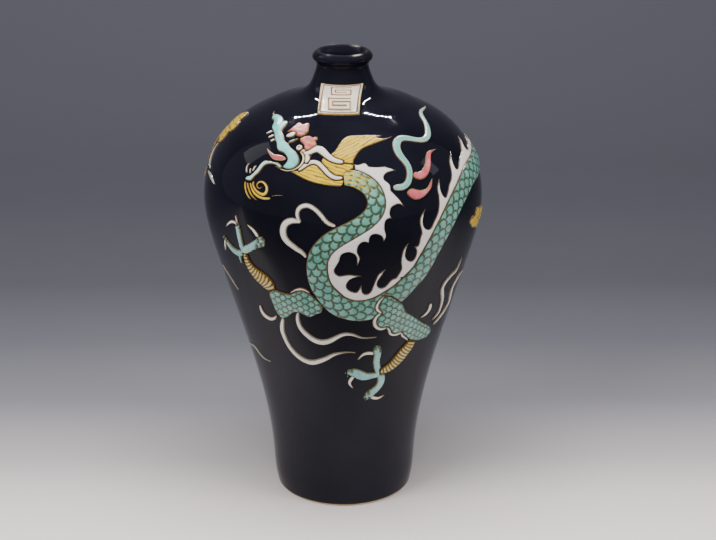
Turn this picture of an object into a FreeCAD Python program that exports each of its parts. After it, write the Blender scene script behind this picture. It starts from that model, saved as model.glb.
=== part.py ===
import FreeCAD, Part
import math
import os

from FreeCAD import Vector

# Meiping vase, 400 mm tall: a clay body thrown in two halves and a separate neck,
# luted together with slip, dipped in a dark glaze and trailed with raised enamels.
# Origin at the centre of the foot, +Z up, the dragon's breast towards -Y, millimetres.

# Driving sizes
sizes = {
    "height": 400.0,
    "foot_diameter": 121.5,
    "belly_diameter": 240.0,
    "neck_diameter": 44.4,
    "lip_diameter": 50.8,
    "bore_diameter": 33.0,
    "wall": 6.0,
    "floor_thickness": 9.0,
    "foot_ring_width": 9.0,
    "foot_recess": 5.0,
    "foot_bevel": 1.0,
    "glaze_thickness": 0.5,
    "glaze_stop": 1.5,
    "luting_thickness": 1.2,
    "figure_relief": 1.4,
    "ribbon_relief": 1.1,
    "hair_relief": 0.8,
    "trunk_width": 20.0,
    "stroke_width": 10.0,
    "ribbon_width": 12.0,
    "horn_width": 14.0,
    "fin_depth": 8.0,
    "eye_diameter": 6.0,
    "label_width": 34.6,
    "label_border_width": 2.4,
    "fret_bar": 1.7,
    "prism_margin": 4.2,
    "least_edge": 0.8,
}

# Outer profile, as shares of the height and of the step between two named radii
foot_to_belly_shares = [(0, 0), (0.0375, 0.043), (0.1, 0.0717), (0.2, 0.168), (0.3, 0.32), (0.4, 0.5122),
                        (0.5, 0.7114), (0.6, 0.909), (0.675, 1)]
belly_to_neck_shares = [(0.7375, 0.9785), (0.78, 0.9202), (0.8175, 0.8221), (0.845, 0.7157), (0.8675, 0.5849),
                        (0.8825, 0.4652), (0.895, 0.3507), (0.9075, 0.1851), (0.925, 0.0695),
                        (0.9475, 0.0235), (0.965, 0)]
neck_to_lip_shares = [(0.975, 0.125), (0.985, 1), (0.99375, 0.75)]
crest_share = 0.53
throat_shares = [(0.9965, 0.45), (0.987, 0.02), (0.967, 0), (0.94, 0.5)]
waist_seam_share = 0.475
neck_seam_share = 0.9065
floor_corner_share = 0.66
inner_wall_shares = (0.06, 0.93)
layer_shares = (0.2, 0.96)
place_tolerance = 1e-9

# Outlines of the enamels: turn in degrees from the front towards +X, level in hundredths of the height;
# a third value marks a corner
snout_shares = [(-56, 88.3), (-52.3, 88.5), (-46.5, 88.3), (-43, 87.9, 1), (-40, 88), (-38, 87.4),
                (-38, 86.9),
                (-36.4, 86.4), (-34, 86), (-32, 85.4), (-29, 85.1, 1), (-27.2, 84.6), (-24, 84.1), (-21.6, 83.5),
                (-20.3, 82.8), (-20.2, 82.1), (-21.2, 81.5), (-23.2, 81.05), (-25.8, 81), (-27.6, 81.3, 1),
                (-26.2, 82.5), (-27.5, 83.1), (-29.8, 83.55), (-32.4, 83.7), (-34.3, 84.1), (-35.8, 84.7),
                (-38.2, 85.25), (-40.5, 85.8), (-43.2, 86.3), (-46.4, 86.7), (-48.3, 87.2), (-51, 87.6),
                (-55, 87.8)]
brow_curl_shares = [(-29.8, 85.1, 1), (-27.8, 85.2), (-25.6, 85.7), (-24.9, 86, 1), (-27, 85.8), (-29, 85.5)]
face_shares = [(-21.4, 84.1, 1), (-20, 84.55), (-18, 84.8), (-16, 84.75), (-14.6, 84.3, 1), (-15.2, 83.7),
               (-15.8, 83.15), (-16.2, 82.6), (-17, 82.1), (-18.2, 81.6), (-20, 81.2), (-21.2, 81.2, 1),
               (-19.4, 81.8), (-18.7, 82.3), (-18.5, 82.95), (-19.3, 83.55)]
tongue_shares = [(-40, 83.8, 1), (-37, 83.4), (-34.4, 83.15), (-31, 83.15), (-28.6, 83), (-27.4, 82.7),
                 (-28.2, 82.4), (-31, 82.25), (-33.5, 82.3), (-35.4, 82.6), (-37.2, 83)]
jaw_shares = [(-27.8, 81.35, 1), (-29.5, 81.75), (-31.4, 81.9), (-33.4, 81.85), (-36.6, 81.9), (-38.2, 81.6),
              (-39.2, 81), (-39.9, 80.2), (-40.9, 79.5), (-42.2, 78.8), (-44.2, 78.3), (-44.2, 77.85),
              (-42.4, 77.75), (-40.8, 77.95), (-39.6, 78.8), (-38.5, 79.3), (-37.4, 80.3), (-36.2, 81.05),
              (-34.2, 81.35), (-32.4, 81.45), (-30.6, 81.3), (-28.4, 80.95)]
crest_upper_shares = [(-34.4, 86.7, 1), (-33.1, 87.2), (-32.2, 87.7), (-31.2, 88.05), (-29.5, 88.1),
                      (-27.2, 87.9, 1),
                      (-25.6, 88.1), (-24.1, 88.2), (-22.4, 87.95), (-22.4, 87.7, 1), (-21.4, 87.4), (-21.3, 87),
                      (-22.2, 86.6), (-23.9, 86.35), (-26, 86.3), (-28.1, 86.5), (-30.6, 86.8), (-32.8, 86.75)]
crest_lower_shares = [(-24, 85.95), (-22.7, 86.25), (-21.1, 86.45), (-18.8, 86.5), (-16.8, 86.3, 1),
                      (-15.6, 86.45),
                      (-14.3, 86.4), (-14, 86.1), (-15, 85.85, 1), (-13.8, 85.4), (-14.5, 85), (-16.4, 84.55),
                      (-18.4, 84.3), (-19.7, 84.7), (-20.4, 85.1), (-22, 85.4)]
mane_upper_shares = [(-6.2, 83.95, 1), (-4.2, 84.5), (-2.9, 85.1), (-1.6, 85.72), (0.2, 86.3), (3.1, 86.7),
                     (6.2, 86.78), (10.6, 86.78), (16, 86.7), (22.6, 86.5, 1), (19.2, 86.28, 1), (23, 86.05),
                     (28.4, 86.2, 1), (22.5, 85.75), (18.3, 85.52), (14.8, 85.25), (11, 84.93), (8, 84.35),
                     (6.2, 83.65), (5.1, 83.02), (4.8, 82.45, 1), (2, 82.5), (-1, 82.7), (-4, 83.1)]
mane_middle_shares = [(-9.4, 83.4, 1), (-7.4, 83.3), (-5.5, 83), (-3.5, 82.75), (-1, 82.6), (2.5, 82.5),
                      (4.7, 82.3, 1), (4.6, 81.6, 1), (2.5, 81.3), (0.8, 80.9, 1), (0.4, 80.3, 1), (-1.5, 80.3),
                      (-3.6, 80.4), (-5.2, 80.8), (-6.8, 81.4), (-8.3, 82), (-9.9, 82.7)]
mane_lower_shares = [(-23.6, 80.7, 1), (-21.4, 80.4), (-18.7, 79.98), (-15.5, 79.48), (-12.2, 79.12),
                     (-8.8, 78.87), (-6.2, 78.73), (-3.8, 78.65), (-1, 78.6, 1), (-0.1, 79.2), (0.2, 79.8, 1),
                     (-3, 79.85), (-5.2, 80.2), (-7, 80.7), (-8.7, 81.4), (-10.3, 82.1), (-12, 82.4),
                     (-14, 82.35), (-15.8, 82.1), (-17.4, 81.6), (-18.8, 81.15), (-21, 80.95)]
neck_fin_shares = [(4.8, 82.5, 1), (6.8, 82.3), (10, 82.5), (11.3, 81.95, 1), (14, 81.75), (17.5, 81.7),
                   (20.4, 81.45),
                   (23.7, 80.85, 1), (20.8, 80.7), (18, 80.3), (17.3, 79.6), (18.7, 78.95), (19.6, 78.4, 1),
                   (19.4, 77.5, 1), (21, 76.6), (22.8, 75.5), (24.5, 74.05, 1), (22.2, 74.75), (20.5, 74.65),
                   (19, 74.25), (18.3, 73.55), (18.3, 72.8), (19.1, 72.1, 1), (17.4, 72.15), (16.3, 71.65),
                   (15.9, 70.7), (16.1, 69.65), (16.5, 68.7), (15.5, 67.5, 1), (14.8, 68.6), (13.2, 69.15),
                   (11.5, 69.25), (10.2, 68.75), (9.8, 67.5, 1), (7.6, 67.75), (6.1, 67.25), (5.4, 66.35),
                   (5.5, 65.4), (6.4, 64.2), (5.3, 62.5, 1), (5.3, 63.6), (4.9, 64.7), (4, 65.25), (2.4, 65.6),
                   (0.6, 65.5), (-0.9, 64.9), (-1.6, 63.7), (-2.7, 62.55, 1), (-7.6, 62.55, 1), (-7, 64.2),
                   (-5.6, 65.6), (-4, 66.6), (-1.8, 67.5), (0.8, 68.35), (3.4, 69.2), (6, 70.15), (8.5, 70.95),
                   (10.5, 71.8), (12.3, 72.6), (13.6, 73.4), (14.6, 74.2), (15.2, 75.1), (15.3, 76), (14.9, 77.1),
                   (13.7, 78.2), (11.8, 79.1), (9.4, 80), (7.2, 80.6), (4.6, 81, 1), (5.2, 81.8)]
loop_fin_shares = [(-7.6, 62.55, 1), (-2.7, 62.55, 1), (-3.5, 61.6), (-3.2, 60.8), (-1.7, 60.2),
                   (0.5, 60.35), (3, 60.4),
                   (7.2, 60, 1), (4.3, 59.72), (2.6, 59.25), (1.5, 58.5), (1.2, 57.7), (1.8, 57), (3.4, 56.4),
                   (5.5, 56.2), (6.6, 57), (7.5, 57.9, 1), (7.6, 56.9), (8.3, 55.9), (9.9, 55.55), (11.4, 56),
                   (12.2, 57), (12.8, 58.2), (13.5, 59.35), (14.5, 60.3), (17.1, 61.15, 1), (15.6, 59.9),
                   (14.4, 58.8), (14, 57.85), (14.8, 57.05), (16.5, 56.8), (18.2, 57.3), (20, 58.4), (22, 58.75, 1),
                   (24.6, 58.8, 1), (22.6, 56.6), (19.8, 55.3), (17.2, 54.4), (14.7, 53.8), (11.7, 53.4),
                   (7.4, 53.4), (3.6, 53.8), (0.6, 54.6), (-2, 55.4), (-4, 56.3), (-5.6, 57.5), (-7, 59),
                   (-7.7, 60.7)]
side_fin_shares = [(22, 58.75, 1), (23.3, 59.9), (23.9, 61), (23.4, 62.35), (23.4, 64), (24, 65.3),
                   (25.9, 66.5, 1),
                   (25.1, 65.2), (24.8, 64.1), (25.5, 63.1), (27.1, 62.4), (28.7, 62.35), (29.6, 63.15),
                   (29.8, 64.4), (28.7, 65.5, 1), (30.2, 65.5), (31, 67), (31.6, 68.2), (31.1, 69.4),
                   (30.8, 70.4), (31.3, 71.5), (33.8, 72.9, 1), (32.6, 71.6), (32.2, 70.3), (32.8, 69.3),
                   (34.1, 68.7), (35.6, 68.6), (36.8, 69.3), (38, 70.2), (39.4, 71.2), (40.4, 72.4),
                   (40.9, 73.65), (41.1, 75), (41.2, 76.3), (43.7, 77.95, 1), (43, 76.9), (42.7, 75.9),
                   (43.4, 74.75), (44.8, 74.1), (46.1, 74.7), (47.3, 75.5), (48.3, 76.2), (50.2, 76.95),
                   (51.7, 77.85), (52.8, 78.9), (54, 80.1), (59, 81.5, 1), (56.8, 80.5), (55.8, 79.5),
                   (55.9, 78.75), (57, 78.35), (58.7, 78.65), (61, 79.4), (64.5, 80.1), (67.5, 80.5),
                   (70.2, 81.1), (77, 82.8, 1), (75.3, 81.6), (74, 80.7), (75, 80.1), (78, 80.1, 1), (78, 77.6, 1),
                   (70, 77.4), (64, 76.8), (58, 75.6), (52, 74.4), (46.4, 72.6), (43, 70.6), (40, 68.4), (37, 66),
                   (34.4, 63.4), (32.2, 60.8), (29.5, 58.9), (26.5, 58), (24.6, 58.8, 1)]
left_thigh_shares = [(-31.2, 55.3, 1), (-27.1, 54.9), (-23.8, 54.85, 1), (-21.5, 55.5), (-19.5, 55.95),
                     (-17.6, 56.1),
                     (-16, 55.9), (-14, 55.4, 1), (-9, 53, 1), (-10.2, 51), (-12.2, 50.6), (-14.4, 49.9),
                     (-16.5, 49.8), (-18.6, 50.2), (-20.8, 50.6), (-23, 50.4), (-25.2, 49.6), (-27.7, 48.7),
                     (-30.2, 48.4), (-31.8, 49.1), (-33, 50.2), (-33.7, 51.6), (-34.3, 53.2), (-34.2, 54.3)]
right_thigh_shares = [(17.7, 54.8, 1), (16.2, 53.85), (15.1, 52.75), (15.3, 51.7), (17.5, 50.6, 1),
                      (15.3, 49.75),
                      (14.7, 48.4), (15.9, 47.2), (18.5, 46.6), (20.7, 46.85, 1), (22.5, 46.1), (23.5, 45.15),
                      (25.8, 44.6), (28.4, 44.65), (29.7, 44.8, 1), (30.8, 43.9), (33.2, 43), (35, 42.3, 1),
                      (38, 41.8), (41, 41.3), (45, 41.1), (49.6, 41.3), (51.4, 42.5), (48.2, 44.2),
                      (42.8, 45.7), (37.8, 47.3), (33.2, 48.85), (29.8, 50.1), (27.6, 52, 1), (24, 53.4),
                      (20.8, 54.5)]
crescent_shares = [(26.4, 76.6), (28.5, 77.3), (30.9, 76.98), (33.4, 76.7), (35.7, 76.8), (37.7, 77.45),
                   (39.9, 78.3, 1),
                   (38.4, 76.8), (36.3, 76), (34, 75.4), (31.6, 75.1), (29.7, 75.1), (27.8, 75.55)]
right_cloud_shares = [(61, 66.65, 1), (63.5, 67.6), (66.5, 67.3, 1), (68, 68.3), (70.8, 68.6), (73, 67.7),
                      (73.2, 67.3, 1), (76, 67.9), (79.4, 67.2), (79.6, 65.8), (77, 64.9), (74.4, 65.1, 1),
                      (73, 64.1), (70, 63.9), (68.4, 64.8, 1), (66, 64.6), (63.6, 65.4)]
left_cloud_shares = [(-92, 86.3), (-88, 86.7), (-84, 86.2), (-82.2, 85.5, 1), (-79.4, 85.3), (-77.4, 84.4),
                     (-78.8, 83.5), (-81, 83.3, 1), (-79.6, 82.4), (-80.6, 81.2), (-84, 80.7), (-87, 81.2, 1),
                     (-91, 80.9), (-94.5, 81.8), (-94, 83.1), (-92, 83.6, 1), (-95.8, 84.2), (-95.6, 85.5)]

# Middle of the eye: turn and level
eye_share = (-22.3, 84.65)

# Strokes: turn, level, and width as a share of the width of such strokes
nose_hair_shares = [(-57.2, 88.15, 0.1), (-59.6, 88.45, 0.08), (-62.4, 88.7, 0.06)]
cheek_rim_shares = [(-21.4, 84.1, 0.1), (-19.3, 83.55, 0.18), (-18.5, 82.95, 0.22), (-18.7, 82.3, 0.22),
                    (-19.4, 81.8, 0.2), (-21.2, 81.2, 0.16), (-23.4, 80.85, 0.14), (-26.2, 80.75, 0.12),
                    (-29, 81, 0.1), (-31.4, 81.3, 0.08)]
brow_tuft_shares = [(-32.6, 85.95, 0.2), (-31, 86.2, 0.5), (-29.2, 86.5, 0.5), (-28.3, 86.7, 0.2)]
horn_upper_shares = [(-19.6, 83.8, 0.2), (-16.9, 83.95, 0.3), (-15.1, 84.3, 0.38), (-13.6, 84.58, 0.46),
                     (-11.7, 84.62, 0.5), (-9.8, 84.3, 0.48), (-7.8, 83.78, 0.42), (-5.7, 83.28, 0.37),
                     (-3.9, 82.98, 0.33), (-2, 82.8, 0.3), (0.2, 82.7, 0.2)]
horn_root_shares = [(-17.4, 83.7, 0.3), (-16.9, 83, 0.4), (-17, 82.3, 0.25)]
horn_lower_shares = [(-19.7, 80.95, 0.16), (-18.2, 81.5, 0.24), (-17, 81.98, 0.28), (-15.5, 82.38, 0.3),
                     (-13.9, 82.58, 0.3), (-12.3, 82.55, 0.3), (-10.9, 82.35, 0.3), (-9.5, 81.93, 0.3),
                     (-7.9, 81.37, 0.3), (-6.4, 80.8, 0.3), (-4.9, 80.38, 0.3), (-3, 80.08, 0.28),
                     (-0.1, 80.1, 0.2)]
beard_shares = [
    [(-44.1, 77.4, 0.16), (-43.6, 76.8, 0.18), (-42.9, 76.1, 0.18), (-41.2, 75.1, 0.16), (-39.1, 74.4, 0.06)],
    [(-42.8, 77.4, 0.14), (-41.8, 76.7, 0.16), (-41, 76.2, 0.16), (-39.4, 75.4, 0.15), (-36.2, 74.5, 0.06)],
    [(-41.2, 77.5, 0.16), (-39.8, 76.6, 0.2), (-37.9, 75.8, 0.24), (-35.2, 75.3, 0.24), (-32.6, 75.2, 0.22),
     (-29.9, 75.4, 0.2)],
    [(-39.7, 77.9, 0.14), (-39.3, 77.1, 0.2), (-37.5, 76.4, 0.22), (-35.3, 75.95, 0.26), (-33, 76, 0.3),
     (-32.2, 76.7, 0.28), (-32.8, 77.5, 0.24), (-34.3, 78, 0.2), (-36.1, 78.1, 0.18), (-37.3, 77.7, 0.16),
     (-37.4, 77.25, 0.14), (-36.5, 76.9, 0.12), (-35.4, 76.95, 0.1), (-35, 77.3, 0.08)],
    [(-29.6, 75.85, 0.06), (-27.3, 76.15, 0.07), (-24.5, 76.3, 0.06)],
]
lower_teeth_shares = [
    [(-45.4, 80.7, 0.06), (-45.9, 80.2, 0.12), (-45.6, 79.6, 0.14), (-44.6, 79, 0.1)],
    [(-43.6, 80, 0.12), (-43.1, 79.5, 0.14), (-42.6, 79, 0.1)],
    [(-41.2, 80.6, 0.12), (-41.6, 80.1, 0.16), (-41.7, 79.5, 0.12)],
]
upper_teeth_shares = [
    [(-46.5, 85.75, 0.1), (-45.2, 86.1, 0.2), (-43.9, 86.4, 0.14)],
    [(-43.4, 85.3, 0.1), (-42.2, 85.55, 0.22), (-41, 85.9, 0.16)],
    [(-40.2, 84.85, 0.1), (-39.4, 85.1, 0.22), (-38.4, 85.4, 0.16)],
]
heart_ribbon_shares = [
    [(-2.8, 71.1, 0.2), (-4.8, 71.4, 0.28), (-6.6, 72, 0.3), (-8.2, 72.95, 0.32), (-9.8, 73.8, 0.32),
     (-11.7, 74.5, 0.32), (-14, 74.9, 0.34), (-15.9, 74.7, 0.35), (-17.4, 74.1, 0.34), (-17.9, 73.1, 0.3),
     (-17.4, 72.15, 0.26), (-16.4, 71.4, 0.18)],
    [(-16.4, 71.5, 0.2), (-18.7, 71.7, 0.36), (-20.9, 71.5, 0.46), (-22.7, 70.8, 0.5), (-23.5, 69.65, 0.52),
     (-23.3, 68.4, 0.5), (-22, 67.3, 0.46), (-20, 66.5, 0.42), (-17.9, 65.75, 0.38), (-15.9, 65.1, 0.32),
     (-14.4, 64.1, 0.2)],
]
left_shin_shares = [(-43.2, 62.4, 0.5), (-42.9, 60.9, 0.65), (-41.6, 59.4, 0.9), (-39, 58.1, 1.25),
                    (-35.9, 57.1, 1.4),
                    (-33.6, 56, 1.3), (-32.6, 54.7, 0.9)]
left_toe_shares = [
    [(-44.9, 62.5, 0.5), (-42.6, 63.3, 0.7), (-40, 64.1, 0.7), (-37.3, 65, 0.7), (-35, 65.7, 0.8),
     (-33, 66.3, 0.9),
     (-31.8, 66.6, 0.5)],
    [(-44.3, 63.2, 0.55), (-44.6, 65, 0.55), (-45, 66.6, 0.55), (-45.5, 67.7, 0.46), (-46.4, 68.3, 0.3)],
    [(-44.5, 62.5, 0.6), (-47, 62, 0.6), (-49.3, 62, 0.6), (-51.8, 62.5, 0.55), (-53.8, 63.3, 0.4),
     (-56.3, 64.4, 0.15)],
    [(-46.4, 62.5, 0.36), (-46.9, 60.8, 0.3), (-46.7, 59.6, 0.1)],
]
left_claw_shares = [
    [(-34.2, 66.6, 0.2), (-35.2, 67.3, 0.28), (-37, 68.3, 0.24), (-40.2, 69.2, 0.06)],
    [(-45, 68.2, 0.14), (-47.2, 68.8, 0.24), (-50.2, 68.4, 0.24), (-53, 67.1, 0.06)],
    [(-45.7, 68, 0.2), (-46, 69.5, 0.18), (-46.8, 70.4, 0.06)],
    [(-55.6, 63.8, 0.16), (-56.4, 62.6, 0.24), (-57.6, 61.1, 0.08)],
]
left_tuft_shares = [
    [(-42.3, 50.1, 0.14), (-42.4, 49.1, 0.3), (-41.7, 48.1, 0.38), (-39.8, 47.45, 0.38), (-37.3, 47.3, 0.32),
     (-34.8, 47.8, 0.24), (-33.4, 48.6, 0.1)],
    [(-23.6, 55.1, 0.08), (-21.5, 55.75, 0.18), (-19.5, 56.25, 0.24), (-17.6, 56.4, 0.24),
     (-15.9, 56.2, 0.18),
     (-14.2, 55.7, 0.08)],
]
whisker_outer_shares = [(-29.6, 48.4, 0.2), (-30.8, 46.95, 0.34), (-31.7, 45.35, 0.4), (-31.4, 43.7, 0.4),
                        (-30.3, 41.95, 0.4), (-28.5, 40.45, 0.4), (-25.6, 39.1, 0.42), (-21.8, 38.15, 0.44),
                        (-17.3, 37.85, 0.46), (-12.7, 38.5, 0.42), (-9, 39.3, 0.36), (-5.4, 40.25, 0.28),
                        (-1.9, 40.75, 0.18), (2.3, 40.95, 0.1), (6.2, 40.8, 0.06)]
whisker_inner_shares = [(-20.9, 50.65, 0.18), (-21.8, 49.2, 0.3), (-21.7, 47.5, 0.36), (-20.5, 46.1, 0.4),
                        (-18.2, 44.9, 0.43), (-15, 43.85, 0.46), (-11.3, 43.4, 0.48), (-7.2, 43.8, 0.44),
                        (-3.8, 44.7, 0.36), (-0.5, 45.5, 0.3), (2.4, 45.65, 0.25), (5.4, 45.3, 0.2),
                        (8.8, 44.6, 0.14), (13.2, 44.4, 0.09), (16.7, 44.4, 0.06)]
edging_shares = [
    [(17.7, 54.9, 0.1), (16, 53.85, 0.2), (14.9, 52.75, 0.24), (15.1, 51.7, 0.24), (17.3, 50.6, 0.18)],
    [(17.3, 50.6, 0.18), (15.1, 49.75, 0.24), (14.5, 48.4, 0.28), (15.7, 47.15, 0.28), (18.4, 46.5, 0.24),
     (20.7, 46.75, 0.16)],
    [(20.7, 46.75, 0.16), (22.3, 46.05, 0.2), (23.3, 45, 0.22), (25.8, 44.45, 0.22), (28.4, 44.55, 0.2),
     (29.7, 44.7, 0.14)],
    [(29.7, 44.7, 0.14), (30.6, 43.8, 0.2), (33.2, 42.85, 0.18), (34.9, 42.1, 0.1)],
]
right_shin_shares = [(38.1, 42, 0.9), (36.9, 40.5, 1.1), (34.6, 39.3, 1.2), (32.3, 38.1, 1.2),
                     (29.9, 37, 1.1),
                     (27.1, 36.1, 0.95), (24, 35.5, 0.8), (20.8, 35.2, 0.65)]
right_toe_shares = [
    [(20.8, 34.6, 0.6), (18.8, 36.55, 0.62), (18, 38.4, 0.62), (18.1, 40.1, 0.66), (17.3, 41.5, 0.66),
     (16.3, 42.1, 0.3)],
    [(20.8, 34.5, 0.6), (15.8, 34.4, 0.65), (12.2, 34.4, 0.85), (9, 34.95, 0.95), (5.5, 35.65, 0.8),
     (1.8, 35.5, 0.45)],
    [(21.6, 34.6, 0.7), (22.4, 32.5, 0.7), (20.8, 31.1, 0.68), (18, 30.1, 0.75), (15.2, 29.2, 0.7),
     (13.8, 28.1, 0.5)],
]
right_claw_shares = [
    [(17, 40.1, 0.26), (13.6, 40.45, 0.34), (10.4, 40.25, 0.26), (7.4, 38.9, 0.06)],
    [(6.4, 35, 0.26), (4.3, 33.9, 0.32), (3.4, 32.8, 0.26), (5.6, 31.4, 0.06)],
    [(14.8, 29.4, 0.26), (17.8, 28.6, 0.34), (21.6, 28.1, 0.28), (26.2, 28.7, 0.06)],
]
right_tuft_shares = [(40, 47.1, 0.08), (43, 47.5, 0.26), (45.1, 48.35, 0.36), (45.2, 49.5, 0.32),
                     (44.8, 50, 0.16)]
wave_ribbon_shares = [
    [(50.3, 45.15, 0.1), (52.8, 45.7, 0.24), (54.7, 46.4, 0.3), (55.2, 47.7, 0.34), (54.8, 49.2, 0.36),
     (53.6, 50.6, 0.38), (51.7, 52.2, 0.4), (51.3, 53.35, 0.4), (52.5, 54.15, 0.38), (54.7, 54.9, 0.34),
     (57.5, 55.4, 0.3), (59.8, 55.8, 0.26), (60.6, 56.65, 0.22), (61.4, 57.6, 0.14), (62, 58.6, 0.06)],
    [(52.6, 43.65, 0.14), (56, 44.3, 0.3), (59.5, 45.15, 0.34), (62.3, 46.05, 0.36), (64.2, 47.25, 0.38),
     (63.9, 48.7, 0.38), (62.8, 50.1, 0.38), (62.4, 51.4, 0.38), (63.6, 52.2, 0.36), (66, 53.2, 0.3),
     (69, 53.8, 0.2), (72, 54, 0.08)],
]
flame_ribbon_shares = [(20.6, 77.97, 0.44), (23.1, 77.8, 0.54), (25.4, 77.9, 0.56), (27.3, 78.35, 0.56),
                       (28.8, 79.2, 0.56), (29.8, 80.35, 0.56), (29.8, 81.4, 0.58), (28.7, 82.5, 0.62),
                       (27.7, 83.4, 0.68), (27.7, 84.4, 0.7), (29.2, 85.2, 0.7), (32.4, 85.65, 0.64),
                       (36.1, 85.58, 0.6), (39.6, 85.25, 0.56), (43.1, 84.9, 0.54), (47, 84.8, 0.56),
                       (51.3, 85.2, 0.58), (55.2, 85.9, 0.54), (59, 86.65, 0.48), (62, 87.25, 0.44),
                       (65.9, 87.8, 0.4), (71.4, 88.1, 0.36), (79, 88.05, 0.28), (86, 88, 0.1)]
pink_flame_shares = [(31.1, 79.8, 0.5), (33.4, 79.3, 0.65), (36.1, 79.4, 0.68), (39, 80.2, 0.6),
                     (41.3, 81.3, 0.54),
                     (44, 82.5, 0.4), (47.4, 82.8, 0.16), (50, 82.85, 0.06)]
tail_wisp_shares = [
    [(-84, 80.6, 0.12), (-84.5, 79.5, 0.2), (-84, 78.4, 0.24), (-81.6, 77.2, 0.24), (-79, 76.6, 0.16),
     (-75.5, 76.3, 0.08)],
    [(-78, 75.4, 0.12), (-73, 75.3, 0.34), (-68.5, 74.8, 0.3), (-65.2, 74.4, 0.06)],
    [(-75, 35.6, 0.08), (-66, 36.8, 0.14), (-60.4, 36.7, 0.18), (-56.6, 35.7, 0.16), (-52.6, 35.15, 0.12),
     (-46.8, 35.2, 0.05)],
    [(-70, 55.6, 0.06), (-64, 54.2, 0.12), (-60, 52.6, 0.12), (-57.4, 51.6, 0.05)],
]

# The trunk runs on round the back; width as a share of the trunk width
trunk_shares = [(0.4, 80.05, 0.63), (3, 80.05, 0.7), (6, 79.7, 0.73), (9.3, 78.9, 0.74), (11.9, 77.6, 0.75),
                (12.95, 76, 0.75), (12.7, 74.5, 0.75), (11.1, 73.15, 0.73), (8.3, 71.9, 0.7), (4.6, 70.75, 0.7),
                (0.5, 69.6, 0.74), (-4, 68.2, 0.78), (-7.4, 66.5, 0.8), (-9.6, 64.5, 0.83), (-10.5, 62.1, 0.85),
                (-10.4, 59.8, 0.88), (-9.6, 57.9, 0.9), (-7.7, 56, 0.94), (-5.2, 54.4, 0.99), (-3, 53.2, 1.03),
                (0.5, 52.2, 1.05), (4.9, 51.6, 1.05), (8.8, 51.5, 1.08), (12.6, 51.8, 1.08), (16.5, 52.5, 1.07),
                (21, 53.8, 1.05), (24.9, 55.1, 1.03), (27.6, 56.4, 1), (30.6, 57.9, 0.99), (33.4, 59.5, 0.98),
                (35.1, 61.2, 0.98), (38, 64.1, 0.95), (41.4, 66.9, 0.95), (45.7, 69.75, 0.95), (51, 72.4, 0.93),
                (57, 74.4, 0.93), (63.5, 75.9, 0.93), (70, 76.5, 0.93), (77, 76.8, 0.93), (85, 77.2, 0.93),
                (94, 77, 0.92), (105, 75.9, 0.9), (116, 73, 0.88), (124, 68.5, 0.86), (128, 63, 0.84),
                (128, 57.5, 0.82), (129, 52.5, 0.8), (135, 48.4, 0.78), (146, 46, 0.75), (158, 47.2, 0.72),
                (166, 51.6, 0.68), (171, 57.5, 0.64), (178, 63.6, 0.6), (188, 68.8, 0.56), (201, 72, 0.5),
                (214, 73, 0.43), (226, 72.8, 0.37), (238, 73.4, 0.3), (248, 74.4, 0.22), (255, 75, 0.14)]
trunk_cuts = [0, 17, 28, 39, 46, 59]
tail_cut = 53
back_fin_cuts = (38, 53)
flame_waist_share = 0.33
flame_root_share = 0.25
hind_thigh_shares = [
    [(121, 58.5, 0.9), (116, 57.3, 1.4), (110, 55.2, 1.6), (105, 52.6, 1.5), (102, 50, 1.1),
     (101.4, 48.6, 0.7)],
    [(171, 55.5, 0.8), (177, 56, 1.3), (184, 55.3, 1.5), (190, 53.2, 1.4), (194, 50.6, 1), (195, 49, 0.65)],
]
hind_shin_shares = [
    [(101.5, 49.2, 0.8), (101, 46.8, 1), (102.6, 44.4, 0.85), (105, 42.3, 0.65), (106.4, 40.6, 0.5)],
    [(195, 49.6, 0.8), (196.4, 47, 1), (195.6, 44.6, 0.85), (193.6, 42.4, 0.65), (192.6, 40.6, 0.5)],
]
hind_toe_shares = [
    [(106.4, 41, 0.6), (101, 40.6, 0.6), (96.6, 39.6, 0.75), (92.6, 39.4, 0.4)],
    [(106.4, 41.2, 0.6), (105.4, 38.6, 0.6), (102.6, 36.4, 0.7), (101, 34.4, 0.4)],
    [(106, 41, 0.6), (111, 39.6, 0.6), (115, 37.6, 0.7), (118, 36.6, 0.4)],
    [(192.8, 41, 0.6), (198, 40.6, 0.6), (202.4, 39.6, 0.75), (206.4, 39.4, 0.4)],
    [(192.8, 41.2, 0.6), (193.8, 38.6, 0.6), (196.6, 36.4, 0.7), (198, 34.4, 0.4)],
    [(193.2, 41, 0.6), (188, 39.6, 0.6), (184, 37.6, 0.7), (181, 36.6, 0.4)],
]
hind_claw_shares = [
    [(92.4, 38.5, 0.24), (89.2, 37.6, 0.26), (88.4, 36.3, 0.06)],
    [(99.6, 34.6, 0.24), (96.6, 34, 0.26), (94.4, 34.8, 0.06)],
    [(119, 37.4, 0.24), (121.6, 38.4, 0.26), (121.4, 40, 0.06)],
    [(206.6, 38.5, 0.24), (209.8, 37.6, 0.26), (210.6, 36.3, 0.06)],
    [(199.4, 34.6, 0.24), (202.4, 34, 0.26), (204.6, 34.8, 0.06)],
    [(180, 37.4, 0.24), (177.4, 38.4, 0.26), (177.6, 40, 0.06)],
]
tail_tuft_shares = [
    [(254, 75, 0.2), (259, 76.6, 0.5), (262.6, 79, 0.4), (263.6, 81.6, 0.06)],
    [(254, 75, 0.2), (261, 75.4, 0.5), (268, 76.4, 0.36), (273, 78, 0.06)],
    [(254, 75, 0.2), (260, 73.6, 0.5), (267, 72.8, 0.36), (273, 73, 0.06)],
]

# The label seen from the front: places as shares of its width from the middle, levels in hundredths
label_middle_share = -0.107
label_levels_shares = (89.5, 94)
label_lean_share = 0.097
fret_half_shares = (0.28, 0.25)
fret_levels_shares = [(89.95, 91.6), (91.95, 93.55)]
fret_rows = 7

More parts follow.
